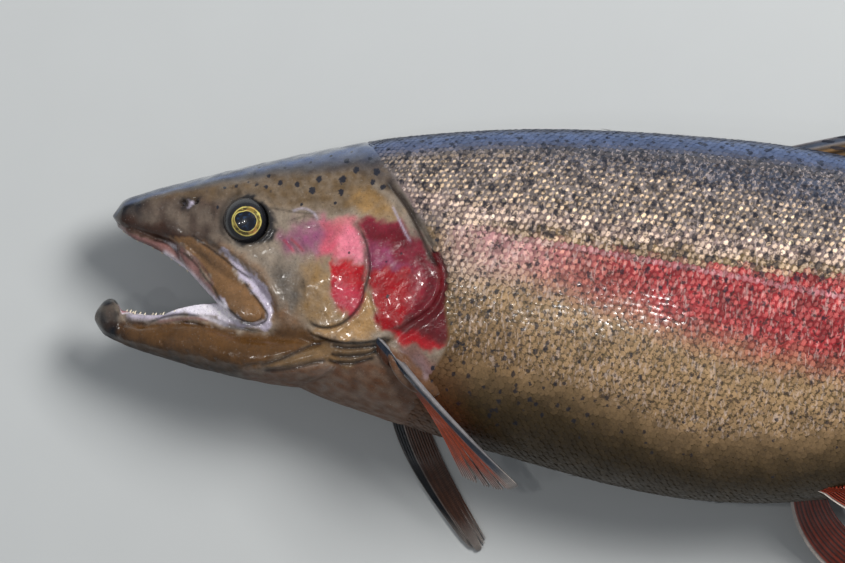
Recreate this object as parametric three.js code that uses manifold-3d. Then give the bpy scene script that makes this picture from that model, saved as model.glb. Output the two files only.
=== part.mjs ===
// A large male rainbow trout, life size, lying on its right flank with its mouth open.
// Every outline is given in the fish's own frame: x runs from the snout tip towards the tail, y towards the
// back and z towards the left side, so the fish lies with its left side up. All sizes are in millimetres.

import * as THREE from "three";
import Module from "manifold-3d";
import { mergeVertices } from "three/addons/utils/BufferGeometryUtils.js";

// ---------------------------------------------------------------- driving dimensions

const STANDARD_LENGTH = 633; // snout tip to the root of the tail fin
const BODY_END = 650; // the scaly root of the tail fin ends here
const ORIGIN = { x: 250, y: -20 }; // the part's origin: under the deepest part of the flank, on the floor
const CUT = 0.35; // gap left between neighbouring solids
const SMALLEST_STEP = 0.09; // facets that change the surface by less than this are merged
const FIN_ROOT_DEPTH = 9; // how far a fin is drawn into the body before it is cut to the skin
const SIDES = { left: 1, right: -1 };

const BODY_RINGS = 44;
const BODY_SIDES = 28;
const JAW_RINGS = 18;
const JAW_SIDES = 14;

// Outlines of the body and upper head along x: back, underside, half width, level of the widest point,
// height of the middle plane above the floor, and how square the section is.
const body = {
  back: [[0, 0], [5, 7.2], [36, 19.5], [78, 33.5], [120, 45.3], [184, 54.9], [265, 58], [311, 55.5],
    [400, 42], [520, 26], [600, 20], [BODY_END, 21]],
  belly: [[0, -1], [4, -5], [23, -10.5], [35, -18], [42, -25], [48, -34], [60, -52], [88, -66.5],
    [123, -75.8], [167, -85], [228, -95.5], [263, -98], [302, -95], [400, -75], [520, -49], [600, -43.5],
    [BODY_END, -45]],
  halfWidth: [[0, 1.5], [5, 8], [32, 17.5], [57, 24.5], [98, 35], [143, 41], [230, 46], [290, 46],
    [350, 43], [420, 36], [480, 28.5], [540, 20.5], [590, 14.5], [STANDARD_LENGTH, 10], [BODY_END, 2.2]],
  widest: [[0, -0.5], [32, -2], [57, -8], [98, -14], [143, -16], [263, -18], [400, -15], [BODY_END, -12]],
  middle: [[0, 32.5], [143, 38.6], [230, 42], [290, 42], [350, 39.6], [420, 33.6], [480, 27.4],
    [540, 20.4], [590, 15.4], [BODY_END, 9.5]],
  squareness: [[0, 2], [32, 2.3], [98, 2.35], [190, 2.15], [BODY_END, 2]],
};

// Outlines of the lower jaw, whose tip carries the upturned hook of a spawning male.
const jaw = {
  start: -4,
  end: 108,
  top: [[-4, -44.5], [-3, -41], [0, -36.9], [3.5, -36], [6.5, -38.5], [8.5, -44], [12, -45.5], [21, -44.2],
    [30, -41.7], [42, -40], [58, -43], [70, -43], [85, -41], [100, -43], [108, -50]],
  bottom: [[-4, -45.5], [-2, -48.3], [1.5, -51.7], [9, -54.6], [22, -58], [44, -62.3], [66, -65],
    [88, -66], [100, -61], [108, -52]],
  halfWidth: [[-4, 1], [0, 5.2], [4, 6.8], [9, 8.5], [20, 13.5], [40, 20.5], [57, 26], [70, 29],
    [88, 32.5], [100, 32], [108, 24]],
};

// The mouth's hollow, from behind the front teeth to the throat.
const mouth = {
  start: 7,
  end: 92,
  roof: [[7, -3], [20, -2], [45, -12], [70, -30], [92, -45]],
  floor: [[7, -47], [20, -50], [45, -52.5], [70, -54], [92, -49]],
  halfWidth: [[7, 2.5], [20, 8], [45, 16], [70, 17], [92, 3]],
};

const gum = { radius: 2.3, upper: [[4, -5.7], [13, -10], [22, -13.4], [31, -18.2], [40, -24.2], [46, -31]],
  lower: [[9, -40.4], [14, -41.2], [25, -40.6], [33, -38.6], [41, -38], [48, -42]], sides: 5 };
const tooth = { height: 2.4, radius: 0.8, everyMm: 5.5, sides: 4 };

const eye = { x: 58.5, y: 2.7, radius: 10.4, bulge: 4.2, flatness: 0.85 };
const maxilla = { from: [29, -8.6], to: [68.5, -38.5], halfHeight: [2.6, 6.8], halfThickness: 3.2, bow: 1.6,
  standOff: 1.2 };
const tongue = { from: 26, to: 76, halfWidth: 8, halfThickness: 3.2, y: -47.6 };

// Side outlines: the rear edge of the head, which follows the gill opening, and the front edge of the
// gill cover, which follows the cheek bone.
const gillOpening = [[106, 70], [109.5, 42.9], [115.7, 23.7], [124, 13.2], [132.8, 2.8], [141.6, -8],
  [143.1, -16], [139.8, -25.4], [129.5, -35], [122.5, -43], [117, -60], [115, -110]];
const coverFront = [[103, 23], [106.6, 5.9], [111.5, -9.6], [113, -16.3], [109.9, -28.3], [104.2, -36.6],
  [96, -39.2], [88, -37.5], [87, -44.5]];
const coverFoot = [[94, -44.6], [111, -42.6], [122.5, -43]];
const COVER_THICKNESS = 4;

const trunkCuts = { shoulder: 214, loin: 340, vent: 470 };

// ---------------------------------------------------------------- curves, lofts and solids

// A smooth line through points, as a function of x.
function through(points) {
  const slope = points.map((p, i) => {
    const a = points[Math.max(i - 1, 0)];
    const b = points[Math.min(i + 1, points.length - 1)];
    return (b[1] - a[1]) / (b[0] - a[0]);
  });
  return (x) => {
    const last = points.length - 2;
    let i = points.findIndex((p, k) => k <= last && x <= points[k + 1][0]);
    if (i < 0) i = last;
    const [x0, y0] = points[i];
    const [x1, y1] = points[i + 1];
    const step = x1 - x0;
    const t = THREE.MathUtils.clamp((x - x0) / step, 0, 1);
    const t2 = t * t;
    const t3 = t2 * t;
    return (2 * t3 - 3 * t2 + 1) * y0 + (t3 - 2 * t2 + t) * step * slope[i]
      + (3 * t2 - 2 * t3) * y1 + (t3 - t2) * step * slope[i + 1];
  };
}

const back = through(body.back);
const belly = through(body.belly);
const halfWidth = through(body.halfWidth);
const widest = through(body.widest);
const middle = through(body.middle);
const squareness = through(body.squareness);

const power = (value, exponent) => Math.sign(value) * Math.abs(value) ** exponent;

// A point of the body's skin at station x, where angle 0 is the left side and a quarter turn is the back.
// The flank that the fish lies on is pressed flat by the floor.
function skinPoint(x, angle, grow = 0) {
  const rounding = 2 / squareness(x);
  const level = widest(x);
  const up = power(Math.sin(angle), rounding);
  const out = power(Math.cos(angle), rounding);
  const reach = (up > 0 ? back(x) - level : level - belly(x)) + grow;
  const z = middle(x) + (Math.max(halfWidth(x), 0.5) + grow) * out;
  return new THREE.Vector3(x, level + reach * up, Math.max(z, -Math.min(grow, 0)));
}

// Distance of the skin from the middle plane at a place in the side view.
function skinOffset(x, y) {
  const level = widest(x);
  const reach = y > level ? back(x) - level : level - belly(x);
  const share = Math.min(Math.abs(y - level) / reach, 1);
  return halfWidth(x) * (1 - share ** squareness(x)) ** (1 / squareness(x));
}

// A closed tube whose skin is place(along, angle) and whose ends close on their own centres.
function loft(place, rings, sides) {
  const tube = new THREE.CylinderGeometry(1, 1, 1, sides, rings);
  const position = tube.getAttribute("position");
  const point = new THREE.Vector3();
  for (let i = 0; i < position.count; i++) {
    point.fromBufferAttribute(position, i);
    const along = 0.5 - point.y;
    if (Math.hypot(point.x, point.z) > 0.5) {
      point.copy(place(along, Math.atan2(point.x, point.z)));
    } else {
      const top = place(along, Math.PI / 2);
      point.copy(place(along, -Math.PI / 2)).add(top).multiplyScalar(0.5);
    }
    position.setXYZ(i, point.x, point.y, point.z);
  }
  return tube;
}

const wasm = await Module();
wasm.setup();

// A closed geometry as a solid that can be joined and cut.
function solid(geometry) {
  const bare = geometry.clone();
  for (const name of ["normal", "uv"]) bare.deleteAttribute(name);
  const merged = mergeVertices(bare, 1e-4);
  const made = new wasm.Manifold(new wasm.Mesh({
    numProp: 3,
    vertProperties: merged.getAttribute("position").array,
    triVerts: new Uint32Array(merged.index.array),
  }));
  if (made.volume() > 0) return made;
  const turned = new Uint32Array(merged.index.array).reverse();
  return new wasm.Manifold(new wasm.Mesh({
    numProp: 3, vertProperties: merged.getAttribute("position").array, triVerts: turned,
  }));
}

function geometryOf(made) {
  const mesh = made.getMesh();
  const points = new Float32Array(mesh.numVert * 3);
  for (let i = 0; i < mesh.numVert; i++) {
    points.set(mesh.vertProperties.subarray(i * mesh.numProp, i * mesh.numProp + 3), i * 3);
  }
  const geometry = new THREE.BufferGeometry();
  geometry.setAttribute("position", new THREE.BufferAttribute(points, 3));
  geometry.setIndex(new THREE.BufferAttribute(mesh.triVerts, 1));
  return geometry;
}

// The largest of the separate bodies, which drops slivers left by a cut.
const mainBody = (made) => made.simplify(SMALLEST_STEP).decompose().sort((a, b) => b.volume() - a.volume())[0];

// A solid that fills a side outline from z low to z high.
function prism(outline, low, high) {
  const shape = new THREE.Shape(outline.map(([x, y]) => new THREE.Vector2(x, y)));
  const block = new THREE.ExtrudeGeometry(shape, { depth: high - low, bevelEnabled: false });
  return solid(block.translate(0, 0, low));
}

const slab = (from, to) => prism([[from, -200], [to, -200], [to, 200], [from, 200]], -50, 200);

// ---------------------------------------------------------------- head

function wholeBody(grow = 0) {
  const place = (along, angle) => skinPoint(BODY_END * along ** 1.45, angle, grow);
  return solid(loft(place, BODY_RINGS, BODY_SIDES));
}

function jawBody(grow = 0) {
  const top = through(jaw.top);
  const bottom = through(jaw.bottom);
  const half = through(jaw.halfWidth);
  return solid(loft((along, angle) => {
    const x = jaw.start - grow + (jaw.end - jaw.start + 2 * grow) * along ** 1.3;
    const centre = (top(x) + bottom(x)) / 2;
    const reach = (top(x) - bottom(x)) / 2 + grow;
    const z = middle(Math.max(x, 0)) + (half(x) + grow) * power(Math.cos(angle), 0.85);
    return new THREE.Vector3(x, centre + reach * power(Math.sin(angle), 0.85), z);
  }, JAW_RINGS, JAW_SIDES));
}

function mouthHollow() {
  const roof = through(mouth.roof);
  const floor = through(mouth.floor);
  const half = through(mouth.halfWidth);
  return solid(loft((along, angle) => {
    const x = THREE.MathUtils.lerp(mouth.start, mouth.end, along);
    const centre = (roof(x) + floor(x)) / 2;
    const reach = (roof(x) - floor(x)) / 2;
    const z = middle(x) + half(x) * power(Math.cos(angle), 0.8);
    return new THREE.Vector3(x, centre + reach * power(Math.sin(angle), 0.6), z);
  }, 9, 12));
}

// A gum runs round the inside of a jaw as one bar, from corner to corner past the front, with teeth on it.
function gumBar(line, edgeOffset, towards, grow = 0) {
  const level = through(line);
  const [front, rear] = [line[0][0], line[line.length - 1][0]];
  const steps = 7;
  const route = [];
  for (let i = -steps; i <= steps; i++) {
    const x = THREE.MathUtils.lerp(front, rear, (Math.abs(i) / steps) ** 1.2);
    const side = Math.sign(i);
    route.push(new THREE.Vector3(x, level(x) - towards * gum.radius, middle(x) + side * edgeOffset(x)));
  }
  const path = new THREE.CatmullRomCurve3(route);
  const ring = new THREE.Shape();
  ring.absarc(0, 0, gum.radius + grow, 0, 2 * Math.PI);
  const bar = new THREE.ExtrudeGeometry(ring, {
    steps: 2 * steps, curveSegments: gum.sides, bevelEnabled: false, extrudePath: path,
  });
  let made = solid(bar);
  const count = Math.floor(path.getLength() / tooth.everyMm);
  for (let i = 1; i < count && !grow; i++) {
    const root = path.getPointAt(i / count);
    const cone = new THREE.ConeGeometry(tooth.radius, tooth.height, tooth.sides);
    if (towards < 0) cone.rotateX(Math.PI);
    cone.translate(root.x, root.y + towards * (gum.radius + tooth.height / 2 - 0.7), root.z);
    made = made.add(solid(cone));
  }
  return made;
}

const upperGum = (grow) => gumBar(gum.upper, (x) => Math.max(halfWidth(x) * 0.78 - 2.2, 1.2), -1, grow);
const lowerGum = (grow) => gumBar(gum.lower, (x) => through(jaw.halfWidth)(x) - 4.4, 1, grow);

function eyeball(side, grow = 0) {
  const ball = new THREE.SphereGeometry(eye.radius + grow, 14, 9);
  ball.rotateX(Math.PI / 2);
  ball.scale(1, 1, eye.flatness);
  const depth = skinOffset(eye.x, eye.y) + eye.bulge - eye.radius * eye.flatness;
  ball.translate(eye.x, eye.y, middle(eye.x) + side * depth);
  return solid(ball);
}

// The long upper-jaw bone: a paddle that widens towards the corner of the mouth.
function maxillaBone(side) {
  const [ax, ay] = maxilla.from;
  const [bx, by] = maxilla.to;
  const length = Math.hypot(bx - ax, by - ay);
  const along = [(bx - ax) / length, (by - ay) / length];
  return solid(loft((t, angle) => {
    const rounding = Math.sqrt(Math.max(1 - (2 * t - 1) ** 4, 0.02));
    const half = THREE.MathUtils.lerp(...maxilla.halfHeight, Math.sqrt(t)) * rounding;
    const bow = maxilla.bow * Math.sin(Math.PI * t);
    const across = half * Math.sin(angle) - bow;
    const x = ax + (bx - ax) * t - along[1] * across;
    const y = ay + (by - ay) * t + along[0] * across;
    const spread = skinOffset(ax + (bx - ax) * t, Math.max(ay + (by - ay) * t, -24)) + maxilla.standOff;
    const thick = maxilla.halfThickness * rounding * Math.cos(angle);
    return new THREE.Vector3(x, y, middle(x) + side * (spread - 1.5 + thick));
  }, 12, 12));
}

function tongueSolid() {
  return solid(loft((t, angle) => {
    const x = THREE.MathUtils.lerp(tongue.from, tongue.to, t);
    const rounding = Math.sqrt(Math.max(1 - (2 * t - 1) ** 4, 0.03));
    const y = tongue.y + tongue.halfThickness * rounding * Math.sin(angle);
    return new THREE.Vector3(x, y, middle(x) + tongue.halfWidth * rounding * Math.cos(angle));
  }, 8, 12));
}

// ---------------------------------------------------------------- fins

const mix = THREE.MathUtils.lerp;

// A fin is a sheet of rays with an even thickness on both sides of the surface it is given. On that surface
// u runs from the leading ray to the last one, and v from the root of a ray to its tip.
function finSheet(surface, { thick = [3, 1.1], across = 8, along = 5, sink = 0.12 } = {}) {
  const sheet = new THREE.BoxGeometry(1, 1, 1, across, along, 1);
  const position = sheet.getAttribute("position");
  const step = 0.02;
  const slope = (low, high) => new THREE.Vector3(...surface(...high)).sub(new THREE.Vector3(...surface(...low)));
  for (let i = 0; i < position.count; i++) {
    const u = position.getX(i) + 0.5;
    const v = (position.getY(i) + 0.5) * (1 + sink) - sink;
    const acrossRays = slope([Math.max(u - step, 0), v], [Math.min(u + step, 1), v]);
    const alongRay = slope([u, Math.max(v - step, -sink)], [u, Math.min(v + step, 1)]);
    const normal = acrossRays.cross(alongRay).normalize();
    const half = position.getZ(i) * mix(...thick, Math.sqrt(Math.max(v, 0)));
    const point = new THREE.Vector3(...surface(u, v)).addScaledVector(normal, half);
    position.setXYZ(i, point.x, point.y, point.z);
  }
  return solid(sheet);
}

// Fins of the middle plane: where they start and end, and from the first ray to the last the angle of the
// rays and their length. sag is how far the tips hang towards the floor.
const dorsalFin = { from: 284, to: 372, angle: [14, 10], length: [72, 27], sag: -4, bow: 1.5 };
const adiposeFin = { from: 500, to: 519, angle: [36, 20], length: [24, 13], sag: -1.5, bow: 2 };
const analFin = { from: 462, to: 528, angle: [-52, -24], length: [60, 25], sag: -9, bow: 3 };

function middleFin({ from, to, angle, length, sag, bow }, edge, options) {
  const side = Math.sign(angle[0]);
  return finSheet((u, v) => {
    const x = mix(from, to, u);
    const turn = THREE.MathUtils.degToRad(mix(...angle, u));
    const reach = mix(...length, u ** 0.8) * (1 - 0.1 * (1 - u) ** 6) * v;
    const swell = bow * side * Math.sin(Math.PI * Math.max(v, 0)) * (1 - u);
    return [x + reach * Math.cos(turn), edge(x) - 1.5 * side + reach * Math.sin(turn) + swell,
      middle(x) + sag * Math.max(v, 0) ** 2];
  }, { sink: FIN_ROOT_DEPTH / length[0], ...options });
}

const tailFin = { root: 636, spread: 31, lobe: 97, middle: 72, rise: 0.6 };

function tailFinSheet() {
  const { root, spread, lobe, rise } = tailFin;
  return finSheet((u, v) => {
    const out = 1 - 2 * u;
    const length = mix(tailFin.middle, lobe, Math.abs(out) ** 1.6) * (1 - 0.06 * Math.abs(out) ** 9);
    const turn = THREE.MathUtils.degToRad(spread * power(out, 0.9));
    const droop = Math.min(Math.max(v, 0) * 1.08, 1) ** 1.2;
    return [root + v * length * Math.cos(turn), mix(back(root) - 1, belly(root) + 1, u) + v * length * Math.sin(turn),
      mix(middle(root), rise, droop)];
  }, { thick: [4, 1.2], across: 14, along: 6, sink: 0.08 });
}

// Paired fins: the ends of the root line, the tips of the first and last rays, and how far the rays bow.
const pectoral = {
  left: { root: [[125, -46], [134, -47]], tips: [[184, -99], [165, -97]], bow: 5, lift: 9, droop: 24 },
  right: { root: [[127, -45], [136, -50]], tips: [[167, -127], [176, -123]], bow: 9 },
};
const pelvic = {
  left: { root: [[315, -89], [329, -86]], tips: [[384, -114], [391, -92]], bow: 3, offset: 15 },
  right: { root: [[303, -91], [318, -89]], tips: [[356, -141], [376, -118]], bow: 10, offset: -15 },
};

const across = ({ root }, u) => [0, 1].map((i) => mix(root[0][i], root[1][i], u));

function rayPoint(fin, u, v) {
  const swell = 1 + 0.06 * Math.sin(Math.PI * u);
  const root = across(fin, u);
  const [x, y] = root.map((start, i) => (mix(fin.tips[0][i], fin.tips[1][i], u) - start) * swell);
  const bend = fin.bow * Math.sin(Math.PI * Math.max(v, 0) ** 0.75) / Math.hypot(x, y);
  return [root[0] + v * x + bend * y, root[1] + v * y - bend * x];
}

// The raised pectoral fin: the leading ray stands off the body and the other rays turn under it.
function raisedPectoral() {
  const fin = pectoral.left;
  return finSheet((u, v) => {
    const root = across(fin, u);
    const free = Math.max(v, 0);
    const height = middle(root[0]) + skinOffset(...root) + 0.5 * (1 - u);
    return [...rayPoint(fin, u, v), height + fin.lift * (1 - u) * Math.sin(Math.PI * free) - fin.droop * free ** 2];
  }, { thick: [3.4, 1.1] });
}

// A fin that drops from its root to the floor and runs along it.
function lyingFin(fin, rootHeight, touchdown) {
  const rise = 0.6;
  return finSheet((u, v) => {
    const drop = Math.max(1 - Math.max(v, 0) / touchdown, 0) ** 1.6;
    return [...rayPoint(fin, u, v), mix(rise, rootHeight(...across(fin, u)), drop)];
  }, { thick: [2 * rise, 2 * rise], along: 7, sink: 0.06 });
}

function foldedPelvic() {
  const fin = pelvic.left;
  return finSheet((u, v) => {
    const height = middle(across(fin, u)[0]) + fin.offset;
    return [...rayPoint(fin, u, v), height + 4 * u - 9 * Math.max(v, 0) ** 2];
  });
}

// ---------------------------------------------------------------- assembly

const finish = {
  skin: new THREE.MeshStandardMaterial({ color: 0x6f6848, roughness: 0.35 }),
  jaw: new THREE.MeshStandardMaterial({ color: 0x5c4528, roughness: 0.35 }),
  gillCover: new THREE.MeshStandardMaterial({ color: 0x9b2a35, roughness: 0.3 }),
  fin: new THREE.MeshStandardMaterial({ color: 0x6b4638, roughness: 0.45 }),
  eye: new THREE.MeshStandardMaterial({ color: 0xb9a03a, roughness: 0.1 }),
  mouth: new THREE.MeshStandardMaterial({ color: 0xd8b9bd, roughness: 0.4 }),
};

const trout = new THREE.Group();
trout.position.set(-ORIGIN.x, -ORIGIN.y, 0);

function addNode(name, made, material) {
  const mesh = new THREE.Mesh(geometryOf(mainBody(made)), material);
  mesh.name = name;
  trout.add(mesh);
}

function addHead(whole, hollow) {
  const headSide = prism([[-60, -110], ...[...gillOpening].reverse(), [-60, 70]], -50, 200);
  const lining = wholeBody(-COVER_THICKNESS);
  const coverOutline = [...coverFront, ...coverFoot,
    ...gillOpening.slice(2, -3).reverse()];
  let head = whole.intersect(headSide).add(upperGum(0)).subtract(hollow).subtract(jawBody(CUT));
  for (const [name, side] of Object.entries(SIDES)) {
    const reach = side > 0 ? [middle(120), 200] : [-50, middle(120)];
    const region = prism(coverOutline, ...reach);
    const wider = region.translate(-CUT, 0, 0).add(region).add(region.translate(1, 0, 0));
    const plate = whole.intersect(headSide).intersect(region).subtract(lining).subtract(jawBody(CUT));
    head = head.subtract(wider.subtract(wholeBody(-COVER_THICKNESS - 2 * CUT)));
    addNode(`gill_cover_${name}`, plate, finish.gillCover);
    head = head.subtract(eyeball(side, CUT));
    addNode(`eye_${name}`, eyeball(side), finish.eye);
    const bone = maxillaBone(side).subtract(wholeBody(CUT)).subtract(upperGum(CUT)).subtract(jawBody(CUT));
    addNode(`maxilla_${name}`, bone, finish.jaw);
  }
  addNode("head", head, finish.skin);
  addNode("jaw_lower", jawBody().add(lowerGum(0)).subtract(hollow), finish.jaw);
  addNode("tongue", tongueSolid(), finish.mouth);
}

function addTrunk(whole) {
  const { shoulder, loin, vent } = trunkCuts;
  const behindHead = prism([...gillOpening.map(([x, y]) => [x + 1.3 * CUT, y]), [900, -110], [900, 70]],
    -50, 200);
  const trunk = whole.intersect(behindHead);
  const lengths = { trunk_shoulder: [0, shoulder], trunk_belly: [shoulder, loin], trunk_vent: [loin, vent],
    tail_stalk: [vent, 900] };
  for (const [name, [from, to]] of Object.entries(lengths)) {
    addNode(name, trunk.intersect(slab(from + CUT / 2, to - CUT / 2)), finish.skin);
  }
}

function addFins() {
  const skin = wholeBody(CUT);
  const underside = (x, y) => middle(x) - skinOffset(x, y) + 0.4;
  const fins = {
    dorsal_fin: middleFin(dorsalFin, back),
    adipose_fin: middleFin(adiposeFin, back, { thick: [4.5, 2.2], across: 5, along: 4 }),
    anal_fin: middleFin(analFin, belly),
    tail_fin: tailFinSheet(),
    pectoral_fin_left: raisedPectoral(),
    pectoral_fin_right: lyingFin(pectoral.right, underside, 0.4),
    pelvic_fin_left: foldedPelvic(),
    pelvic_fin_right: lyingFin(pelvic.right, (x) => middle(x) + pelvic.right.offset, 0.8),
  };
  for (const [name, made] of Object.entries(fins)) addNode(name, made.subtract(skin), finish.fin);
}

const whole = wholeBody();
addHead(whole, mouthHollow());
addTrunk(whole);
addFins();

export default trout;
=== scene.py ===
"""A large male rainbow trout, life size, lying on its right flank with its mouth open.

One skin stands for all the flesh. Overlapping scales lie over it on the trunk, and the eyes, teeth, tongue
and fins are pieces of their own. Lengths inside this file are in millimetres in the fish's own frame, where
x runs from the snout tip towards the tail, y towards the back and z towards the left side, which lies
upwards.
"""

import math
import random

import bpy
import numpy as np
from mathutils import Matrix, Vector, kdtree


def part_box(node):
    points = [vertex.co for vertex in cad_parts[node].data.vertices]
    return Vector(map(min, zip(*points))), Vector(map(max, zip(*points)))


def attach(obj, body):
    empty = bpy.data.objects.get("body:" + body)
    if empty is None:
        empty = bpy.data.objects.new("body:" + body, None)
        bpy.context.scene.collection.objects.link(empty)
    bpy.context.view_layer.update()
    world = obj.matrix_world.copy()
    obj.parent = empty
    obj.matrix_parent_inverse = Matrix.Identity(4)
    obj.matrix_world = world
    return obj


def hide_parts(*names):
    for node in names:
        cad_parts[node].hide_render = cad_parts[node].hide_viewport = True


bl_info = {
    "name": "Rainbow trout",
    "version": (1, 0, 0),
    "blender": (4, 5, 0),
    "location": "View3D > Sidebar > Trout",
    "description": "Models a life-size rainbow trout: skin, scales, eyes, mouth and fins",
    "category": "Object",
}

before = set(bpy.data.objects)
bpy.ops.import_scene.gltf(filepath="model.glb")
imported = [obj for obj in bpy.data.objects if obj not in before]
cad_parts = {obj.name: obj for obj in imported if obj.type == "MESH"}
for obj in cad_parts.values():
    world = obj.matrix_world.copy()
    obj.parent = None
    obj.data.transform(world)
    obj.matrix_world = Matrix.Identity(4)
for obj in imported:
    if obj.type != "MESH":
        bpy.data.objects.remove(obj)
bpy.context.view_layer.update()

# ---------------------------------------------------------------- the fish's measurements, in millimetres

MM = 0.001
ORIGIN_X, ORIGIN_Y = 250, -20
BODY_END = 650

BACK = [(0, 0), (5, 7.2), (36, 19.5), (78, 33.5), (120, 45.3), (184, 54.9), (265, 58), (311, 55.5),
        (400, 42), (520, 26), (600, 20), (BODY_END, 21)]
BELLY = [(0, -1), (4, -5), (23, -10.5), (35, -18), (42, -25), (48, -34), (60, -52), (88, -66.5),
         (123, -75.8), (167, -85), (228, -95.5), (263, -98), (302, -95), (400, -75), (520, -49),
         (600, -43.5), (BODY_END, -45)]
HALF_WIDTH = [(0, 1.5), (5, 8), (32, 17.5), (57, 24.5), (98, 35), (143, 41), (230, 46), (290, 46),
              (350, 43), (420, 36), (480, 28.5), (540, 20.5), (590, 14.5), (633, 10), (BODY_END, 2.2)]
WIDEST = [(0, -0.5), (32, -2), (57, -8), (98, -14), (143, -16), (263, -18), (400, -15), (BODY_END, -12)]
MIDDLE = [(0, 32.5), (143, 38.6), (230, 42), (290, 42), (350, 39.6), (420, 33.6), (480, 27.4),
          (540, 20.4), (590, 15.4), (BODY_END, 9.5)]
SQUARENESS = [(0, 2), (32, 2.3), (98, 2.35), (190, 2.15), (BODY_END, 2)]

JAW_START, JAW_END = -4, 108
JAW_TOP = [(-4, -44.5), (-3, -41), (0, -36.9), (3.5, -36), (6.5, -38.5), (8.5, -44), (12, -45.5),
           (21, -44.2), (30, -41.7), (42, -40), (58, -43), (70, -43), (85, -41), (100, -43), (108, -50)]
JAW_BOTTOM = [(-4, -45.5), (-2, -48.3), (1.5, -51.7), (9, -54.6), (22, -58), (44, -62.3), (66, -65),
              (88, -66), (100, -61), (108, -52)]
JAW_HALF_WIDTH = [(-4, 1), (0, 5.2), (4, 6.8), (9, 8.5), (20, 13.5), (40, 20.5), (57, 26), (70, 29),
                  (88, 32.5), (100, 32), (108, 24)]

MOUTH_START, MOUTH_END = 7, 92
MOUTH_ROOF = [(7, -3), (20, -2), (45, -12), (70, -30), (92, -45)]
MOUTH_FLOOR = [(7, -47), (20, -50), (45, -52.5), (70, -54), (92, -49)]
MOUTH_HALF_WIDTH = [(7, 2.5), (20, 8), (45, 16), (70, 17), (92, 3)]
MOUTH_CORNER_TOP = [(26, -39.8), (29, -38.4), (36, -35.9), (42.4, -34.2), (50, -33.2), (57, -32.6),
                    (64, -34), (74, -38)]
MOUTH_CORNER_FOOT = [(26, -42), (40, -44), (55, -47), (74, -47)]

GUM_RADIUS = 2.3
UPPER_GUM = [(4, -5.7), (13, -10), (22, -13.4), (31, -18.2), (40, -24.2), (46, -31)]
LOWER_GUM = [(9, -40.4), (14, -41.2), (25, -40.6), (33, -38.6), (41, -38), (48, -42)]

EYE_X, EYE_Y, EYE_RADIUS, EYE_BULGE, EYE_FLATNESS = 58.5, 2.7, 10.4, 4.2, 0.85
MAXILLA_FROM, MAXILLA_TO = (29, -8.6), (68.5, -38.5)

LATERAL_LINE = [(110, 8), (143.2, 6.4), (175.7, 6.1), (210.4, 3.8), (254, 0.3), (317.2, -5.3),
                (400, -9), (520, -11), (BODY_END, -12)]


# ---------------------------------------------------------------- curves and measures on the fish's shape

def through(points):
    """A smooth line through points, as a function of x that takes arrays."""
    xs, ys = np.array(points, float).T
    slope = np.empty_like(ys)
    slope[1:-1] = (ys[2:] - ys[:-2]) / (xs[2:] - xs[:-2])
    slope[0] = (ys[1] - ys[0]) / (xs[1] - xs[0])
    slope[-1] = (ys[-1] - ys[-2]) / (xs[-1] - xs[-2])

    def line(x):
        x = np.asarray(x, float)
        i = np.clip(np.searchsorted(xs, x) - 1, 0, len(xs) - 2)
        step = xs[i + 1] - xs[i]
        t = np.clip((x - xs[i]) / step, 0, 1)
        value = (2 * t**3 - 3 * t**2 + 1) * ys[i] + (3 * t**2 - 2 * t**3) * ys[i + 1]
        return value + (t**3 - 2 * t**2 + t) * step * slope[i] + (t**3 - t**2) * step * slope[i + 1]

    return line


back, belly, half_width, widest = through(BACK), through(BELLY), through(HALF_WIDTH), through(WIDEST)
middle, squareness, lateral_line = through(MIDDLE), through(SQUARENESS), through(LATERAL_LINE)
jaw_top, jaw_bottom, jaw_half_width = through(JAW_TOP), through(JAW_BOTTOM), through(JAW_HALF_WIDTH)
mouth_roof, mouth_floor = through(MOUTH_ROOF), through(MOUTH_FLOOR)
mouth_half_width = through(MOUTH_HALF_WIDTH)


def mix(low, high, share):
    return low + (high - low) * share


def smooth(value, low, high):
    """0 below low, 1 above high, and a soft rise between them. low may be the larger."""
    t = np.clip((value - low) / (high - low), 0, 1)
    return t * t * (3 - 2 * t)


def power(value, exponent):
    return np.sign(value) * np.abs(value) ** exponent


def rounded_ends(along, exponent):
    """How full a form is along its length: 1 over its middle and 0 at both ends."""
    return np.sqrt(np.maximum(1 - (2 * along - 1) ** exponent, 0))


# The lowest that each kind of surface reaches over the floor.
SKIN_LOWEST, SCALES_LOWEST, FINS_LOWEST = 0.2, 0.05, 0.04


def rest_on_floor(z, lowest):
    """Heights pressed flat where they would sink below lowest."""
    softness = 0.8
    above = z - lowest
    return lowest + 0.5 * (above + np.sqrt(above**2 + softness**2))


def body_point(x, angle, grow=0.0, lowest=0.15):
    """Points of the body's outline at station x. Angle 0 is the left side, a quarter turn the back."""
    rounding = 2 / squareness(x)
    level = widest(x)
    up = power(np.sin(angle), rounding)
    reach = np.where(up > 0, back(x) - level, level - belly(x)) + grow
    out = (np.maximum(half_width(x), 0.5) + grow) * power(np.cos(angle), rounding)
    z = rest_on_floor(middle(x) + out, lowest)
    return np.stack(np.broadcast_arrays(x, level + reach * up, z), -1)


def body_offset(x, y):
    """Distance of the skin from the middle plane at a place in the side view."""
    level = widest(x)
    reach = np.where(y > level, back(x) - level, level - belly(x))
    share = np.minimum(np.abs(y - level) / reach, 1)
    return half_width(x) * (1 - share ** squareness(x)) ** (1 / squareness(x))


def curve(points, every=0.5):
    """A rounded line through a few points of the side view, as many close points and their shares."""
    p = np.array(points, float)
    gaps = np.linalg.norm(np.diff(p, axis=0), axis=1)
    at = np.concatenate([[0], np.cumsum(gaps)])
    share = np.linspace(0, at[-1], max(int(at[-1] / every), 2))
    return np.stack([through(np.stack([at, p[:, k]], 1))(share) for k in (0, 1)], 1), share / at[-1]


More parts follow.
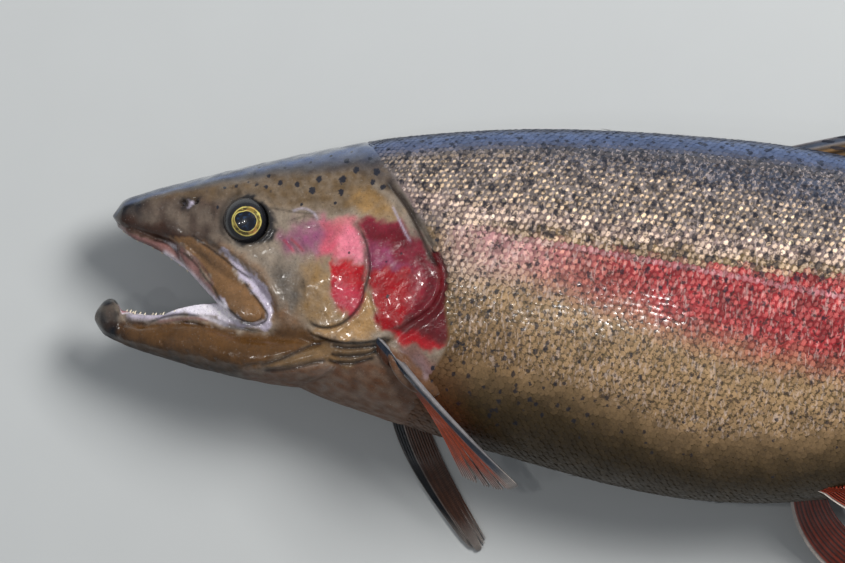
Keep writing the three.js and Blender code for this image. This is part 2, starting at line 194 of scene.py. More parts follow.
def beside(x, y, points):
    """Distance to a line in the side view, above 0 on the right hand of its run, and the share run."""
    line, share = curve(points)
    low, high = line.min(0) - 12, line.max(0) + 12
    near = (x > low[0]) & (x < high[0]) & (y > low[1]) & (y < high[1])
    distance, run = np.full(len(x), 99.0), np.zeros(len(x))
    px, py = x[near], y[near]
    best, side, at = np.full(len(px), 99.0), np.ones(len(px)), np.zeros(len(px))
    for (ax, ay), (bx, by), s in zip(line[:-1], line[1:], share[:-1]):
        dx, dy = bx - ax, by - ay
        t = np.clip(((px - ax) * dx + (py - ay) * dy) / (dx * dx + dy * dy), 0, 1)
        d = np.hypot(px - ax - t * dx, py - ay - t * dy)
        closer = d < best
        best = np.where(closer, d, best)
        side = np.where(closer, np.sign((py - ay) * dx - (px - ax) * dy), side)
        at = np.where(closer, s, at)
    distance[near], run[near] = -best * side, at
    return distance, run


def inside(x, y, outline, softness):
    """1 inside a closed outline of the side view, 0 outside, with a soft edge."""
    p = np.array(outline, float)
    closest = np.full(len(x), 1e9)
    crossed = np.zeros(len(x), bool)
    for (ax, ay), (bx, by) in zip(p, np.roll(p, -1, 0)):
        dx, dy = bx - ax, by - ay
        t = np.clip(((x - ax) * dx + (y - ay) * dy) / (dx * dx + dy * dy), 0, 1)
        closest = np.minimum(closest, np.hypot(x - ax - t * dx, y - ay - t * dy))
        if dy:
            crossed ^= ((ay > y) != (by > y)) & (x < dx * (y - ay) / dy + ax)
    signed = np.where(crossed, closest, -closest)
    return smooth(signed, -softness, softness)


def waver(points, size, seed):
    """Smooth random values from -1 to 1 over space, which change over about size millimetres."""
    rng = np.random.default_rng(seed)
    total = np.zeros(len(points))
    for _ in range(10):
        wave = rng.normal(size=3)
        wave *= 2 * math.pi / (size * 1.6) * rng.uniform(0.6, 1.7) / np.linalg.norm(wave)
        total += np.sin(points @ wave + rng.uniform(0, 2 * math.pi))
    return np.clip(total / 3.2, -1, 1)


# ---------------------------------------------------------------- colours

def paint(name, description, value):
    """A colour of the fish, given as a web colour."""
    parts = [int(value[i:i + 2], 16) / 255 for i in (1, 3, 5)]
    return bpy.props.FloatVectorProperty(
        name=name, description=description, subtype="COLOR_GAMMA", size=3, min=0, max=1, default=parts)


class TroutColours(bpy.types.PropertyGroup):
    """The paints of the fish, as a painter of models would name them."""

    back: paint("Back", "Slate blue of the back", "#3D4250")
    crown: paint("Crown", "Olive brown of the top of the head", "#64513A")
    snout: paint("Snout", "Navy black of the snout and the hook of the jaw", "#080E18")
    snout_brown: paint("Snout brown", "Dark brown over the upper lip", "#392014")
    slate: paint("Slate", "Dark slate behind the crown", "#33343C")
    orbit: paint("Orbit", "Black grey of the skin round the eye", "#16171C")
    # Painted shade: the near black laid along the head's creases, grooves and the gaps under its edges.
    crease_shade: paint("Ink", "Near black of creases", "#1A1210")
    cheek_dark: paint("Cheek grey", "Darker grey of the cheek", "#48433F")
    cheek_brown: paint("Cheek brown", "Brown over the mouth's corner", "#7B593B")
    face: paint("Face", "Grey brown of the face before the eye", "#4E4038")
    temple: paint("Temple", "Warm grey behind and below the eye", "#8F8274")
    gold: paint("Gold", "Gold of the cheek and the top of the gill cover", "#987544")
    jaw: paint("Jaw", "Brown gold of the lower jaw", "#593D20")
    jaw_shade: paint("Jaw shade", "Dark brown under the jaw", "#140D09")
    upper_jaw: paint("Upper jaw bone", "Golden brown of the long bone beside the mouth", "#75573A")
    lilac: paint("Lilac", "Pale lilac of the folds inside the mouth", "#BBB3C6")
    lip: paint("Lip", "Pinkish grey of the lips and gums", "#7B5855")
    mouth: paint("Mouth", "Dull pink of the mouth", "#A7777C")
    gold_rose: paint("Rose gold", "Pinkish gold under the gill cover's red", "#A8814F")
    violet: paint("Violet", "Violet pink where the stripe starts behind the eye", "#954F75")
    rose: paint("Rose", "Bright rose red of the cheek", "#D85D73")
    rose_pale: paint("Pale rose", "Milky rose beside the gill cover's ridge", "#E78398")
    rose_dark: paint("Dark rose", "Dark rose of the lower cheek bone", "#BE435A")
    crimson: paint("Crimson", "Crimson of the cheek bone", "#AC0E1C")
    wine: paint("Wine", "Wine red of the gill cover", "#7A2031")
    wine_dark: paint("Dark wine", "Darkest wine of the gill cover", "#5B0E18")
    blood: paint("Blood", "Deep glossy red of the lower gill cover", "#990614")
    fold: paint("Fold", "Pale olive of the folds under the gill cover", "#684F30")
    throat: paint("Throat", "Brown of the throat", "#624029")
    # Web is painted light: paler than the tissue's own colour, lifting the mouth's corner and lip edge out of
    # shade.
    web: paint("Web", "Blue white of the web at the mouth's corner and the upper lip's edge", "#F2ECF8")
    flank_high: paint("Upper flank", "Blue grey between the upper scales", "#6A6260")
    # The scale paints colour the scales' pale centres: partly their own colour, partly a painted highlight.
    flank_high_scale: paint("Upper scale", "Cream of the upper scales", "#EECEA9")
    cream: paint("Cream ground", "Pinkish grey over the stripe and behind the gill cover", "#85716F")
    cream_scale: paint("Cream scale", "Pale pinkish cream of the same scales", "#F4D9C8")
    flank_gold: paint("Gold line", "Dark gold over the stripe", "#6E5A34")
    stripe_pale: paint("Pale stripe", "Pink of the stripe behind the gill cover", "#C08A8E")
    stripe: paint("Stripe", "Crimson of the stripe", "#891A24")
    stripe_scale: paint("Stripe scale", "Pink of the scales in the stripe", "#B9404C")
    flank_low: paint("Lower flank", "Olive brown between the lower scales", "#69573C")
    flank_low_scale: paint("Lower scale", "Tan of the lower scales", "#AB8C68")
    # Belly is painted shade, far darker than the belly's own brownish cream.
    belly: paint("Belly", "Brownish cream of the belly", "#3A2E1A")
    spot: paint("Spot", "Blue black of the spots", "#181D2A")
    # Sheen is a painted reflection of the sky along the crest, partly the back's own steel blue.
    sheen: paint("Sheen", "Sky blue shine along the crest of the back", "#4C5E83")
    # Crest is a painted highlight: the pale rim of the crest.
    crest: paint("Crest", "Pale blue rim of the crest", "#6E80A2")
    fin_dark: paint("Dark ray", "Dark slate of the leading rays", "#1A1E25")
    fin_slate: paint("Slate ray", "Slate blue of the raised fin's leading ray", "#343E4F")
    fin_red: paint("Red ray", "Orange red of the lower fins' rays", "#D2521C")
    fin_rust: paint("Rust ray", "Dark reddish brown of the pelvic fins' rays", "#7A2C1A")
    fin_brown: paint("Brown ray", "Reddish brown of the rays", "#5B3A2B")
    fin_olive: paint("Olive fin", "Olive brown of the upper fins", "#4E4838")
    fin_tip: paint("Fin tip", "Pale grey of the fins' worn tips", "#B5ACA6")
    iris: paint("Iris", "Gold of the iris", "#7D6A2C")
    iris_rim: paint("Iris rim", "Pale gold of the iris's edges", "#D0C26E")
    pupil: paint("Pupil", "Blue black of the pupil", "#070C1A")
    tooth: paint("Tooth", "Ivory of the teeth", "#E6DCC4")
    floor: paint("Floor", "Pale floor of the studio", "#BCC0C2")


class TroutSizes(bpy.types.PropertyGroup):
    """The sizes that decide how fine the fish is."""

    skin_grain: bpy.props.FloatProperty(
        name="Skin grain", description="Size of the smallest form in the skin", unit="LENGTH",
        default=0.72 * MM, min=0.4 * MM, max=3 * MM)
    scale_pitch: bpy.props.FloatProperty(
        name="Scale pitch", description="Distance between neighbouring scales on the flank", unit="LENGTH",
        default=2.75 * MM, min=1.5 * MM, max=6 * MM)
    scale_thickness: bpy.props.FloatProperty(
        name="Scale thickness", description="How deep the scales lie over the skin", unit="LENGTH",
        default=0.5 * MM, min=0.2 * MM, max=1 * MM)
    scale_lift: bpy.props.FloatProperty(
        name="Scale lift", description="How far a scale's free edge stands over its root", unit="LENGTH",
        default=0.26 * MM, min=0, max=1 * MM)
    fin_rays: bpy.props.IntProperty(
        name="Fin rays", description="Rays in each paired fin", default=13, min=8, max=20)


def linear(colour):
    """Linear values of a paint."""
    c = np.array(colour, float)
    return np.where(c <= 0.04045, c / 12.92, ((c + 0.055) / 1.055) ** 2.4)


def paints():
    colours = bpy.context.scene.trout_colours
    return {name: linear(getattr(colours, name)) for name in TroutColours.__annotations__}


def sizes():
    return bpy.context.scene.trout_sizes


# ---------------------------------------------------------------- meshes

def only(piece):
    """Selects piece alone and makes it active."""
    bpy.ops.object.select_all(action="DESELECT")
    piece.select_set(True)
    bpy.context.view_layer.objects.active = piece
    return piece


def primitive(name, kind, **settings):
    """A new piece made from one of Blender's simple meshes."""
    bpy.ops.object.select_all(action="DESELECT")
    getattr(bpy.ops.mesh, f"primitive_{kind}_add")(**settings)
    piece = bpy.context.object
    piece.name = piece.data.name = name
    return piece


def coordinates(piece):
    """The piece's vertices as Blender holds them."""
    flat = np.empty(len(piece.data.vertices) * 3)
    piece.data.vertices.foreach_get("co", flat)
    return flat.reshape(-1, 3)


def points_of(piece):
    """The piece's vertices in the fish's frame, in millimetres."""
    return coordinates(piece) / MM + (ORIGIN_X, ORIGIN_Y, 0)


def put_points(piece, points):
    """Moves the piece's vertices to points of the fish's frame."""
    flat = (points - (ORIGIN_X, ORIGIN_Y, 0)) * MM
    piece.data.vertices.foreach_set("co", flat.ravel())
    piece.data.update()


def normals_of(piece):
    flat = np.empty(len(piece.data.vertices) * 3, np.float32)
    piece.data.vertex_normals.foreach_get("vector", flat)
    return flat.reshape(-1, 3).astype(float)


def give(piece, name, values):
    """Stores a value, a vector or a colour for each vertex under a name that materials read."""
    values = np.asarray(values, np.float32)
    kind = "FLOAT" if values.ndim == 1 else "FLOAT_COLOR"
    key = "value" if values.ndim == 1 else "color"
    if values.ndim == 2:
        values = np.concatenate([values, np.ones((len(values), 1), np.float32)], 1)
    layer = piece.data.attributes.new(name, kind, "POINT")
    layer.data.foreach_set(key, values.ravel())


def apply(piece, kind, **settings):
    """Adds a modifier to the piece and applies it."""
    only(piece)
    modifier = piece.modifiers.new(kind.title(), kind)
    for key, value in settings.items():
        setattr(modifier, key, value)
    bpy.ops.object.modifier_apply(modifier=modifier.name)


def face_outwards(piece):
    only(piece)
    bpy.ops.object.mode_set(mode="EDIT")
    bpy.ops.mesh.select_all(action="SELECT")
    bpy.ops.mesh.normals_make_consistent(inside=False)
    bpy.ops.object.mode_set(mode="OBJECT")


def shaped_ball(name, rings, sides, place):
    """A ball whose skin is moved to place(along, angle), where along runs from 0 at one pole to 1."""
    piece = primitive(name, "uv_sphere", segments=sides, ring_count=rings, radius=1)
    co = coordinates(piece)
    along = np.arccos(np.clip(co[:, 2], -1, 1)) / math.pi
    points = place(along, np.arctan2(co[:, 1], co[:, 0]))
    for pole in np.flatnonzero(np.abs(co[:, 2]) > 0.99999):
        ends = place(along[[pole, pole]], np.array([0.5, -0.5]) * math.pi)
        points[pole] = ends.mean(0)
    put_points(piece, points)
    face_outwards(piece)
    return piece


def joined(pieces, name):
    bpy.ops.object.select_all(action="DESELECT")
    for piece in pieces:
        piece.select_set(True)
    bpy.context.view_layer.objects.active = pieces[0]
    if len(pieces) > 1:
        bpy.ops.object.join()
    whole = bpy.context.view_layer.objects.active
    whole.name = whole.data.name = name
    return whole


def cut_out(piece, tool):
    """Cuts the tool's shape out of the piece. The tool stays."""
    apply(piece, "BOOLEAN", operation="DIFFERENCE", object=tool, solver="EXACT")


def discard(piece):
    bpy.data.meshes.remove(piece.data)


def settle(piece, material, slot, *nodes):
    """Gives a finished piece its material and body and hides the nodes it stands for. slot is not used."""
    piece.data.materials.clear()
    piece.data.materials.append(material)
    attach(piece, "root")
    if nodes:
        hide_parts(*nodes)


# ---------------------------------------------------------------- node helpers

class Nodes:
    """Adds and links the nodes of one tree, with short calls."""

    def __init__(self, tree):
        self.tree = tree

    def add(self, kind, settings=None, **inputs):
        node = self.tree.nodes.new(kind)
        for key, value in (settings or {}).items():
            setattr(node, key, value)
        return self.fill(node, **inputs)

    def fill(self, node, **inputs):
        """Feeds a node's sockets by name. An underscore stands for a space."""
        for key, value in inputs.items():
            self.feed(node.inputs[key.replace("_", " ")], value)
        return node

    def feed(self, socket, value):
        if isinstance(value, bpy.types.NodeSocket):
            self.tree.links.new(value, socket)
        else:
            socket.default_value = value

    def math(self, operation, *values):
        node = self.add("ShaderNodeMath", {"operation": operation})
        for socket, value in zip(node.inputs, values):
            self.feed(socket, value)
        return node.outputs[0]

    def plus(self, a, b):
        return self.math("ADD", a, b)

    def minus(self, a, b):
        return self.math("SUBTRACT", a, b)

    def times(self, a, b):
        return self.math("MULTIPLY", a, b)

    def rise(self, value, low, high, to_low=0.0, to_high=1.0):
        """value mapped softly from low..high to to_low..to_high."""
        node = self.add("ShaderNodeMapRange", {"interpolation_type": "SMOOTHSTEP"}, Value=value,
                        From_Min=low, From_Max=high, To_Min=to_low, To_Max=to_high)
        return node.outputs[0]

    def blend(self, share, a, b):
        node = self.add("ShaderNodeMix", {"data_type": "RGBA", "clamp_result": True})
        for index, value in ((0, share), (6, a), (7, b)):
            self.feed(node.inputs[index], value)
        return node.outputs[2]

    def scaled(self, colour, factor):
        node = self.add("ShaderNodeVectorMath", {"operation": "SCALE"}, Vector=colour, Scale=factor)
        return node.outputs[0]

    def value(self, name):
        return self.add("ShaderNodeAttribute", {"attribute_name": name}).outputs["Fac"]

    def colour(self, name):
        return self.add("ShaderNodeAttribute", {"attribute_name": name}).outputs["Color"]

    def place(self):
        return self.add("ShaderNodeTexCoord").outputs["Object"]

    def noise(self, scale, detail=2.0, distortion=0.0, vector=None):
        return self.add("ShaderNodeTexNoise", Vector=vector or self.place(), Scale=scale, Detail=detail,
                        Distortion=distortion).outputs[0]

    def bump(self, height, strength, distance):
        return self.add("ShaderNodeBump", Height=height, Strength=strength, Distance=distance).outputs[0]

    def mottled(self, colour, patches, grain, strength):
        """A colour that varies as living skin does, and the grain of it, as the sockets of a group."""
        return self.add("ShaderNodeGroup", {"node_tree": mottle_group()}, Colour=colour, Patches=patches,
                        Grain=grain, Strength=strength).outputs

    def spotted(self, colour, strength, raggedness):
        """A colour with the fish's spots inked over it."""
        return self.add("ShaderNodeGroup", {"node_tree": spots_group()}, Colour=colour,
                        Ink=rgba(paints()["spot"]), Strength=strength, Raggedness=raggedness).outputs[0]


def rgba(values):
    return (*[float(v) for v in values], 1.0)


def shader_group(name, inputs, outputs, build):
    """The shader group of this name, built when it is first asked for.

    inputs maps names to defaults, where a colour is four values. outputs maps names to kinds of socket.
    build(n, given) adds the nodes and returns what feeds each output.
    """
    if name not in bpy.data.node_groups:
        group = bpy.data.node_groups.new(name, "ShaderNodeTree")
        for socket, default in inputs.items():
            kind = "NodeSocketColor" if isinstance(default, tuple) else "NodeSocketFloat"
            made = group.interface.new_socket(name=socket, in_out="INPUT", socket_type=kind)
            made.default_value = default
        for socket, kind in outputs.items():
            group.interface.new_socket(name=socket, in_out="OUTPUT", socket_type=kind)
        n = Nodes(group)
        given = n.add("NodeGroupInput").outputs
        n.fill(n.add("NodeGroupOutput"), **build(n, given))
    return bpy.data.node_groups[name]


# ---------------------------------------------------------------- markings, the same on skin and scales

# Zones of the head, in the side view: paint, softness of the edge, strength, outline.
HEAD_ZONES = [
    ("face", 6, 1.0, [(-8, -12), (-8, 14), (30, 22), (48, 20), (50, -8), (40, -22), (20, -16)]),
    ("crown", 4, 1.0, [(-8, 6), (20, 9), (40, 11), (62, 13), (72, 9), (84, 9.5), (101, 11), (122, 20),
     (118, 60), (60, 45), (-8, 20)]),
    ("slate", 5, 0.55, [(-8, 12), (20, 13), (44, 17), (62, 22), (84, 26), (100, 31), (112, 36), (112, 60),
     (60, 45), (-8, 20)]),
    ("slate", 6, 0.7, [(98, 42), (105, 31), (112, 24.4), (117, 21.5), (124, 16), (133, 3), (139, -5),
     (142, -8), (134, 22), (126, 36), (112, 52), (98, 54)]),
    ("snout", 4.5, 1.0, [(-8, -3.5), (-8, 8), (6, 12), (13, 12), (15, 6), (11, 0), (5, -2.4)]),
    ("orbit", 1.6, 0.7, [(28, 6), (28.6, 10.4), (32, 11.4), (37.4, 11), (37.6, 7.4), (33, 5)]),
    ("lilac", 0.8, 0.8, [(32, 6.4), (31.8, 9.8), (34, 9.8), (34.2, 6.6)]),
    ("snout_brown", 2.0, 0.9, [(0.5, -0.6), (6, -0.4), (13, -1.5), (24, -1.4), (31, -4.6), (36, -5.2),
     (30, -8.6), (24, -9.4), (18, -8.8), (9.5, -6.4), (5, -4.2)]),
    ("cheek_dark", 4.5, 0.8, [(73, -12), (80, -14), (86, -20), (86, -30), (80, -34), (76, -28), (72, -20)]),
    ("cheek_brown", 3.0, 0.85, [(42, -8), (52, -9.5), (60, -13), (67, -18), (72, -24), (76, -32), (84, -34),
     (86, -40), (78, -44), (74, -40), (73, -31), (69, -24), (61, -17), (50, -11.4)]),
    ("wine_dark", 2.5, 0.9, [(124, -28), (137, -8), (141, 0), (147, -6), (151, -24), (151, -41), (138, -43),
     (126, -40), (121, -36)]),
    ("gold", 4, 0.9, [(103, 20), (114, 19.5), (123, 13), (124, 9.5), (113, 9), (105, 12), (101, 15)]),
    ("gold", 5, 0.85, [(85, -14), (91, -10), (97, -15), (99, -27), (106, -32), (103.7, -36.2), (97, -39),
     (90, -38.5), (85, -33)]),
    ("gold_rose", 2, 0.85, [(111, -22), (113, -22), (117, -30), (119.5, -38.5), (115, -42), (107, -43.6),
     (98, -43.6), (91, -42), (97, -39.2), (103.9, -36.4), (109.4, -29)]),
    ("violet", 4, 0.95, [(73, -3.2), (80, 4), (91, 7), (97, 2), (96, -6), (86, -9), (77, -8)]),
    ("rose", 3.0, 1.0, [(91, 6), (104, 7.5), (106.5, 4), (108, -9.6), (97, -10.2), (90.5, -8), (92, 0)]),
    ("rose_pale", 2.2, 0.85, [(100.5, 5), (105.5, 5), (109.4, -1), (111.4, -9.4), (99.8, -9.6), (99, -2)]),
    ("crimson", 1.0, 1.0, [(95.5, -10.6), (99, -10.6), (111.6, -10.2), (112.4, -16.6), (111.4, -24),
     (109.8, -28.8), (105.5, -33), (99.5, -27.5), (97, -18)]),
    ("rose_dark", 3.0, 0.7, [(99, -20), (111, -22), (110, -29), (105.5, -33), (99, -27)]),
    ("wine", 1.8, 1.0, [(106.5, 8), (112, 9), (118, 8.4), (124.6, 10.4), (131, 4), (139, -7), (141, -13),
     (112.9, -14.6), (111, -5)]),
    ("violet", 3, 0.55, [(111, -2), (116, -1), (124, -7), (129, -11), (114, -13), (112, -8)]),
    ("wine_dark", 3, 0.9, [(110, 7), (117, 4), (127, 6), (129, 0), (120, -3), (112, 1)]),
    ("blood", 1.2, 1.0, [(113.6, -13.4), (126, -11.4), (132, -12.4), (136, -15), (137, -24), (128.7, -34.4),
     (120, -38.5), (117.6, -30), (114, -21.5)]),
    ("wine", 3.2, 0.8, [(131, -9), (140, -12), (142.8, -18), (139.3, -26.5), (132, -32), (131, -20)]),
    ("wine_dark", 1.5, 0.9, [(138, -3), (141.6, -9), (143.4, -16), (140, -26), (133, -33), (141, -36),
     (150, -38), (149, -24), (149, -14), (146, -4), (141, 2)]),
    ("jaw", 2.0, 1.0, [(0, -44), (6, -45.4), (12, -44.8), (21.7, -44.2), (27, -43.5), (33, -42.3),
     (40, -41.2), (46.2, -40.4), (50.7, -41.9), (55.2, -44.1), (60, -44.6), (69, -44.6), (76, -41.6),
     (84, -40), (94, -43), (104, -45), (95, -47), (86, -50), (74, -56), (50, -66), (0, -62)]),
    ("jaw_shade", 4, 0.9, [(-2, -51), (10, -53), (22, -54.5), (44, -58), (64, -60), (76, -62), (96, -66),
     (96, -80), (-2, -72)]),
    ("snout", 3.0, 1.0, [(-8, -34), (6, -34), (8.4, -41), (9.5, -46), (9, -52), (4, -58), (-8, -58)]),
    ("cheek_dark", 1.2, 0.6, [(-1.5, -42), (1, -40.2), (3.6, -41.2), (4.6, -44.5), (2.5, -47),
     (-0.5, -46.5)]),
    ("face", 1.4, 0.5, [(1, -39), (4.6, -39), (6, -42), (5.4, -46), (2.6, -46.4), (0.6, -43)]),
    ("face", 2.0, 0.85, [(123, -45), (131, -45.5), (141, -52), (149, -61), (148, -67), (140, -62),
     (130, -54)]),
    ("throat", 3.0, 0.5, [(124, -46), (134, -45), (146, -46), (154, -50), (152, -66), (136, -60),
     (124, -52)]),
    ("lilac", 1.2, 0.55, [(130, -44.5), (137, -47.5), (144.5, -54), (148.5, -63), (146, -64), (139, -55)]),
    ("lip", 1.6, 0.8, [(128, -42.6), (136, -43.6), (145, -50), (149, -61), (146, -64), (140, -55),
     (132, -47)]),
    ("throat", 4, 1.0, [(64, -61), (86, -57), (99, -53), (118, -50), (124, -44), (134, -46), (142, -60),
     (140, -90), (64, -80)]),
    ("fold", 1.5, 0.9, [(69, -58.5), (78, -54.5), (86, -49.5), (93, -46), (105, -44.6), (118, -43.4),
     (126, -40), (123, -45), (117, -51), (107, -55), (97, -53), (86, -57), (76, -59)]),
    ("crimson", 1.5, 0.9, [(124, -37.6), (131, -36.8), (141, -38.4), (148, -41.4), (141, -43.8),
     (128, -42)]),
    ("wine_dark", 3.0, 0.75, [(130, -36), (139.5, -27.5), (146, -29), (151, -36), (147, -41),
     (132, -38.2)]),
    ("lip", 1.0, 1.0, [(-3, -1.6), (0.8, -1), (5, -4.4), (9.5, -6.8), (14.5, -8.2), (19, -9.2), (25, -10.2),
     (34, -14.7), (38.7, -18.1), (42.9, -23), (47, -27), (49.8, -31), (53, -34.2), (48, -38), (40, -31),
     (30, -23), (15, -15), (0, -8)]),
    ("upper_jaw", 0.8, 1.0, [(25, -6), (30, -6), (35.9, -5.7), (44.4, -10.3), (50.1, -13.8), (54.9, -18.3),
     (58.4, -21.2), (62.1, -25.4), (65.7, -29.3), (68.7, -32.5), (71, -35.6), (70.6, -38.5), (68.3, -40.2),
     (65.7, -40.9), (61.3, -39.5), (56.7, -36.7), (52.6, -33.8), (49.6, -30.9), (45.8, -24.8),
     (42.7, -20.2), (39, -16.2), (34.9, -12.8), (30.3, -10)]),
    ("lilac", 0.9, 1.0, [(47.7, -10.6), (52.7, -12.2), (57.3, -15), (61.3, -17.8), (64.8, -20.8),
     (69, -24.2), (72, -28.7), (74.3, -33.9), (74.5, -36.5), (73.4, -40.5), (69.2, -43.4), (60, -42.2),
     (55, -41.8), (49.5, -40), (45, -38.9), (39.7, -38.8), (33, -39.2), (24, -41.6), (24, -39.4), (30, -36),
     (42.4, -32), (50, -31), (53, -34.2), (56.7, -36.9), (61.3, -39.8), (65.7, -41.3), (68.5, -40.7),
     (70.9, -38.9), (71.4, -35.4), (68.9, -32.3), (65.9, -29), (62.4, -25), (59, -20.4), (53.5, -15.9),
     (47.8, -11.7)]),
    # Painted light on the web at the mouth's corner, which lies in shade under the upper jaw.
    ("web", 1.2, 1.0, [(36, -36.5), (42.4, -34), (50, -32.4), (55, -35.6), (60, -39.6), (56, -40.6),
     (48, -39), (40, -38.4)]),
]

# Zones at least this soft are also patchy, each by a waver of its own seed.
PATCHY_SOFTNESS, FIRST_ZONE_SEED = 3, 40

# The dark skin round the eye.
ORBIT = [(47.8, 2), (48.8, 8), (52, 12), (56, 14), (61, 13.6), (66, 11), (69.3, 7), (71, 2), (73, -1.5),
    (69, -4.6), (64, -6.6), (59, -7.6), (54, -6.4), (50, -3)]

# Dark or pale lines of the head: paint, half width, strength, line.
HEAD_LINES = [
    # The darkest lines are painted shade in the head's creases, grooves and the gaps under its edges.
    ("crease_shade", 0.75, 0.85, [(105.8, 5.3), (110.1, -1.5), (112.3, -8.6), (112.9, -14), (111.5, -20.8),
     (109.9, -28.7), (103.7, -36.2), (97, -39), (91, -38.3), (88, -36)]),
    # A pale pink line along the cheek bone's edge: partly its own colour, partly a painted highlight of wet
    # beads.
    ("lip", 0.8, 0.6, [(103, 9), (107, 2), (110.3, -6), (110.9, -12), (110, -19)]),
    ("crease_shade", 1.3, 0.9, [(115, 26), (119.5, 22), (124.8, 16.5), (129, 10.5), (133.5, 3), (138, -4.5),
     (142.6, -10)]),
    ("temple", 1.5, 0.75, [(110, 24.6), (114, 21.4), (118.5, 19), (122.5, 14.5), (126.5, 8.6), (130.5, 2)]),
    ("wine_dark", 1.6, 0.8, [(131, -3), (136.4, -9.6), (139.4, -15), (138, -22), (133, -29)]),
    ("lilac", 0.5, 0.7, [(119.5, 15.5), (122, 11.4), (125.5, 5.6), (129, 0.4)]),
    ("crease_shade", 0.8, 0.8, [(124, -40), (118, -42.7), (110, -44.4), (101, -44.8), (93, -43)]),
    ("crease_shade", 0.8, 0.9, [(125.5, -40.5), (119, -44.4), (112, -46), (104, -47), (99, -46)]),
    ("crease_shade", 0.8, 0.9, [(124, -43.5), (117, -47.8), (110.2, -50), (103.5, -50.6), (98.9, -49.7)]),
    ("crease_shade", 0.8, 0.9, [(119, -49.5), (113, -52), (107.9, -53.5), (102, -53.6), (98.3, -52.3)]),
    ("crease_shade", 0.9, 0.8, [(97, -45.8), (92.1, -46.8), (85.9, -50.2), (77.8, -54.8), (69.4, -58.2)]),
    ("crease_shade", 0.9, 0.8, [(99, -52.6), (92, -54.8), (86.6, -56.9), (78, -59.2), (71, -60)]),
    ("crease_shade", 0.6, 0.9, [(34.5, -4.6), (38, -7), (44.4, -10.6), (50.1, -14), (53.5, -16.3), (58.6, -19.4),
     (63.8, -22)]),
    ("crease_shade", 0.55, 0.9, [(58.4, -21.2), (62.1, -25.6), (65.7, -29.5), (68.7, -32.7), (71, -35.8),
     (70.7, -38.6), (68.3, -40.3), (65.7, -41), (61.3, -39.7), (56.7, -36.9), (52.6, -34)]),
    ("crease_shade", 0.6, 0.8, [(16, -8.8), (24.9, -10), (34, -14.5), (38.7, -17.9), (42.9, -22.9), (47, -26.8),
     (49.6, -30.9), (53, -34.4)]),
    # Painted light along the upper lip's edge, which faces down into shade.
    ("web", 1.5, 1.0, [(22, -13.6), (30.1, -18.4), (34.8, -21.6), (39.5, -25.4), (43.6, -28.8),
     (47.7, -33)]),
    ("lilac", 1.7, 0.8, [(9, -42.4), (15, -42.4), (20.4, -42), (28.7, -39.6), (36, -37.6)]),
    ("crease_shade", 0.7, 0.85, [(18, -44.6), (21.7, -43.8), (26.9, -41.4), (33.2, -39.7), (39.7, -39.5),
     (45.1, -39.8), (49.5, -41), (55.1, -42.7), (60, -43), (69, -44)]),
    ("lip", 0.7, 0.8, [(23, -44), (27, -43.2), (33.4, -41.8), (39.8, -40.7), (46.2, -40.5)]),
    ("crease_shade", 2.0, 0.55, [(50, -2.6), (47.6, 4), (50, 11), (56, 14.6)]),
    ("crease_shade", 0.5, 0.5, [(66, 9.6), (74, 8.8), (82, 8.4), (90, 9)]),
    ("crease_shade", 0.5, 0.45, [(76, 4.6), (80, 6), (84, 7.4), (89, 6.4)]),
    ("lilac", 0.5, 0.55, [(77, 8.6), (82, 10.4), (86.6, 9), (88.6, 6.4)]),
    ("crimson", 0.6, 0.45, [(74.4, -3), (77, -5.4), (79.6, -8)]),
    ("crimson", 0.6, 0.45, [(77.4, -2.6), (80.6, -4.8), (83.6, -7.4)]),
    # A painted highlight along the lower rim of the long bone beside the mouth.
    ("lip", 0.5, 0.5, [(25.8, -8.6), (35.3, -13.4), (40, -16.8), (43.8, -21.4), (47.4, -26)]),
]

# Spots of the head: place in the side view and radius.
HEAD_SPOTS = [(47.5, 15.5, 1.27), (52.5, 16.9, 1.36), (57.5, 19.1, 1.02), (61.3, 18.3, 1.27),
              (65.2, 17.8, 1.36), (67.7, 16.1, 1.02), (71.1, 20.5, 1.61), (65.8, 23, 1.27),
              (78.4, 20.5, 1.61), (85.1, 18.3, 1.95), (87.5, 23.4, 1.7), (97.6, 24.2, 2.21),
              (97.5, 18.8, 1.7), (98.4, 32.4, 1.7), (102.9, 28.9, 1.95), (111.6, 28.9, 1.95),
              (110.6, 24.5, 1.53), (115.2, 22.4, 1.7), (81.2, 11.9, 0.94), (95.4, 14, 0.94),
              (45.4, 7.5, 0.94), (61.2, 26.3, 0.94), (72.3, 27.2, 1.02), (59.7, 23.3, 0.94),
              (100.1, 36.6, 1.02), (83, 30.5, 0.94), (91.5, 34, 1.02), (40, 13.8, 0.8), (119.6, -8.6, 0.77),
              (121.5, -23.5, 0.99), (125.4, -4.6, 0.77), (103.6, -6.4, 0.8), (108.4, 34.4, 1.36)]

SCALES_START = [(-110, 131), (-80, 133), (-62, 139), (-50, 145), (-40, 148.5), (-32, 147.5), (-25, 146),
                (-16, 146.5), (-8, 144.5), (0.3, 139.5), (8.3, 134), (18.6, 126.5), (26.8, 119.5),
                (34.8, 112.5), (45, 104), (60, 98)]
SLATE_EDGE = [(105, 45), (133, 44), (222, 41), (313, 31), (420, 27), (520, 14), (BODY_END, 6)]
STRIPE_TOP = [(120, 12), (151, 8), (196, 5), (235, 3.5), (270, 2.5), (313, 3), (400, 0), (520, -5),
              (BODY_END, -7)]
STRIPE_FOOT = [(120, 0), (151, -4), (207, -16), (257, -28), (319, -36), (400, -28), (520, -18),
               (BODY_END, -17)]
# Where the belly's painted shade begins. In front it reaches higher: a painted cast shadow over darker olive
# skin.
BELLY_EDGE = [(120, -60), (200, -69), (263, -85), (400, -62), (520, -43), (BODY_END, -40)]

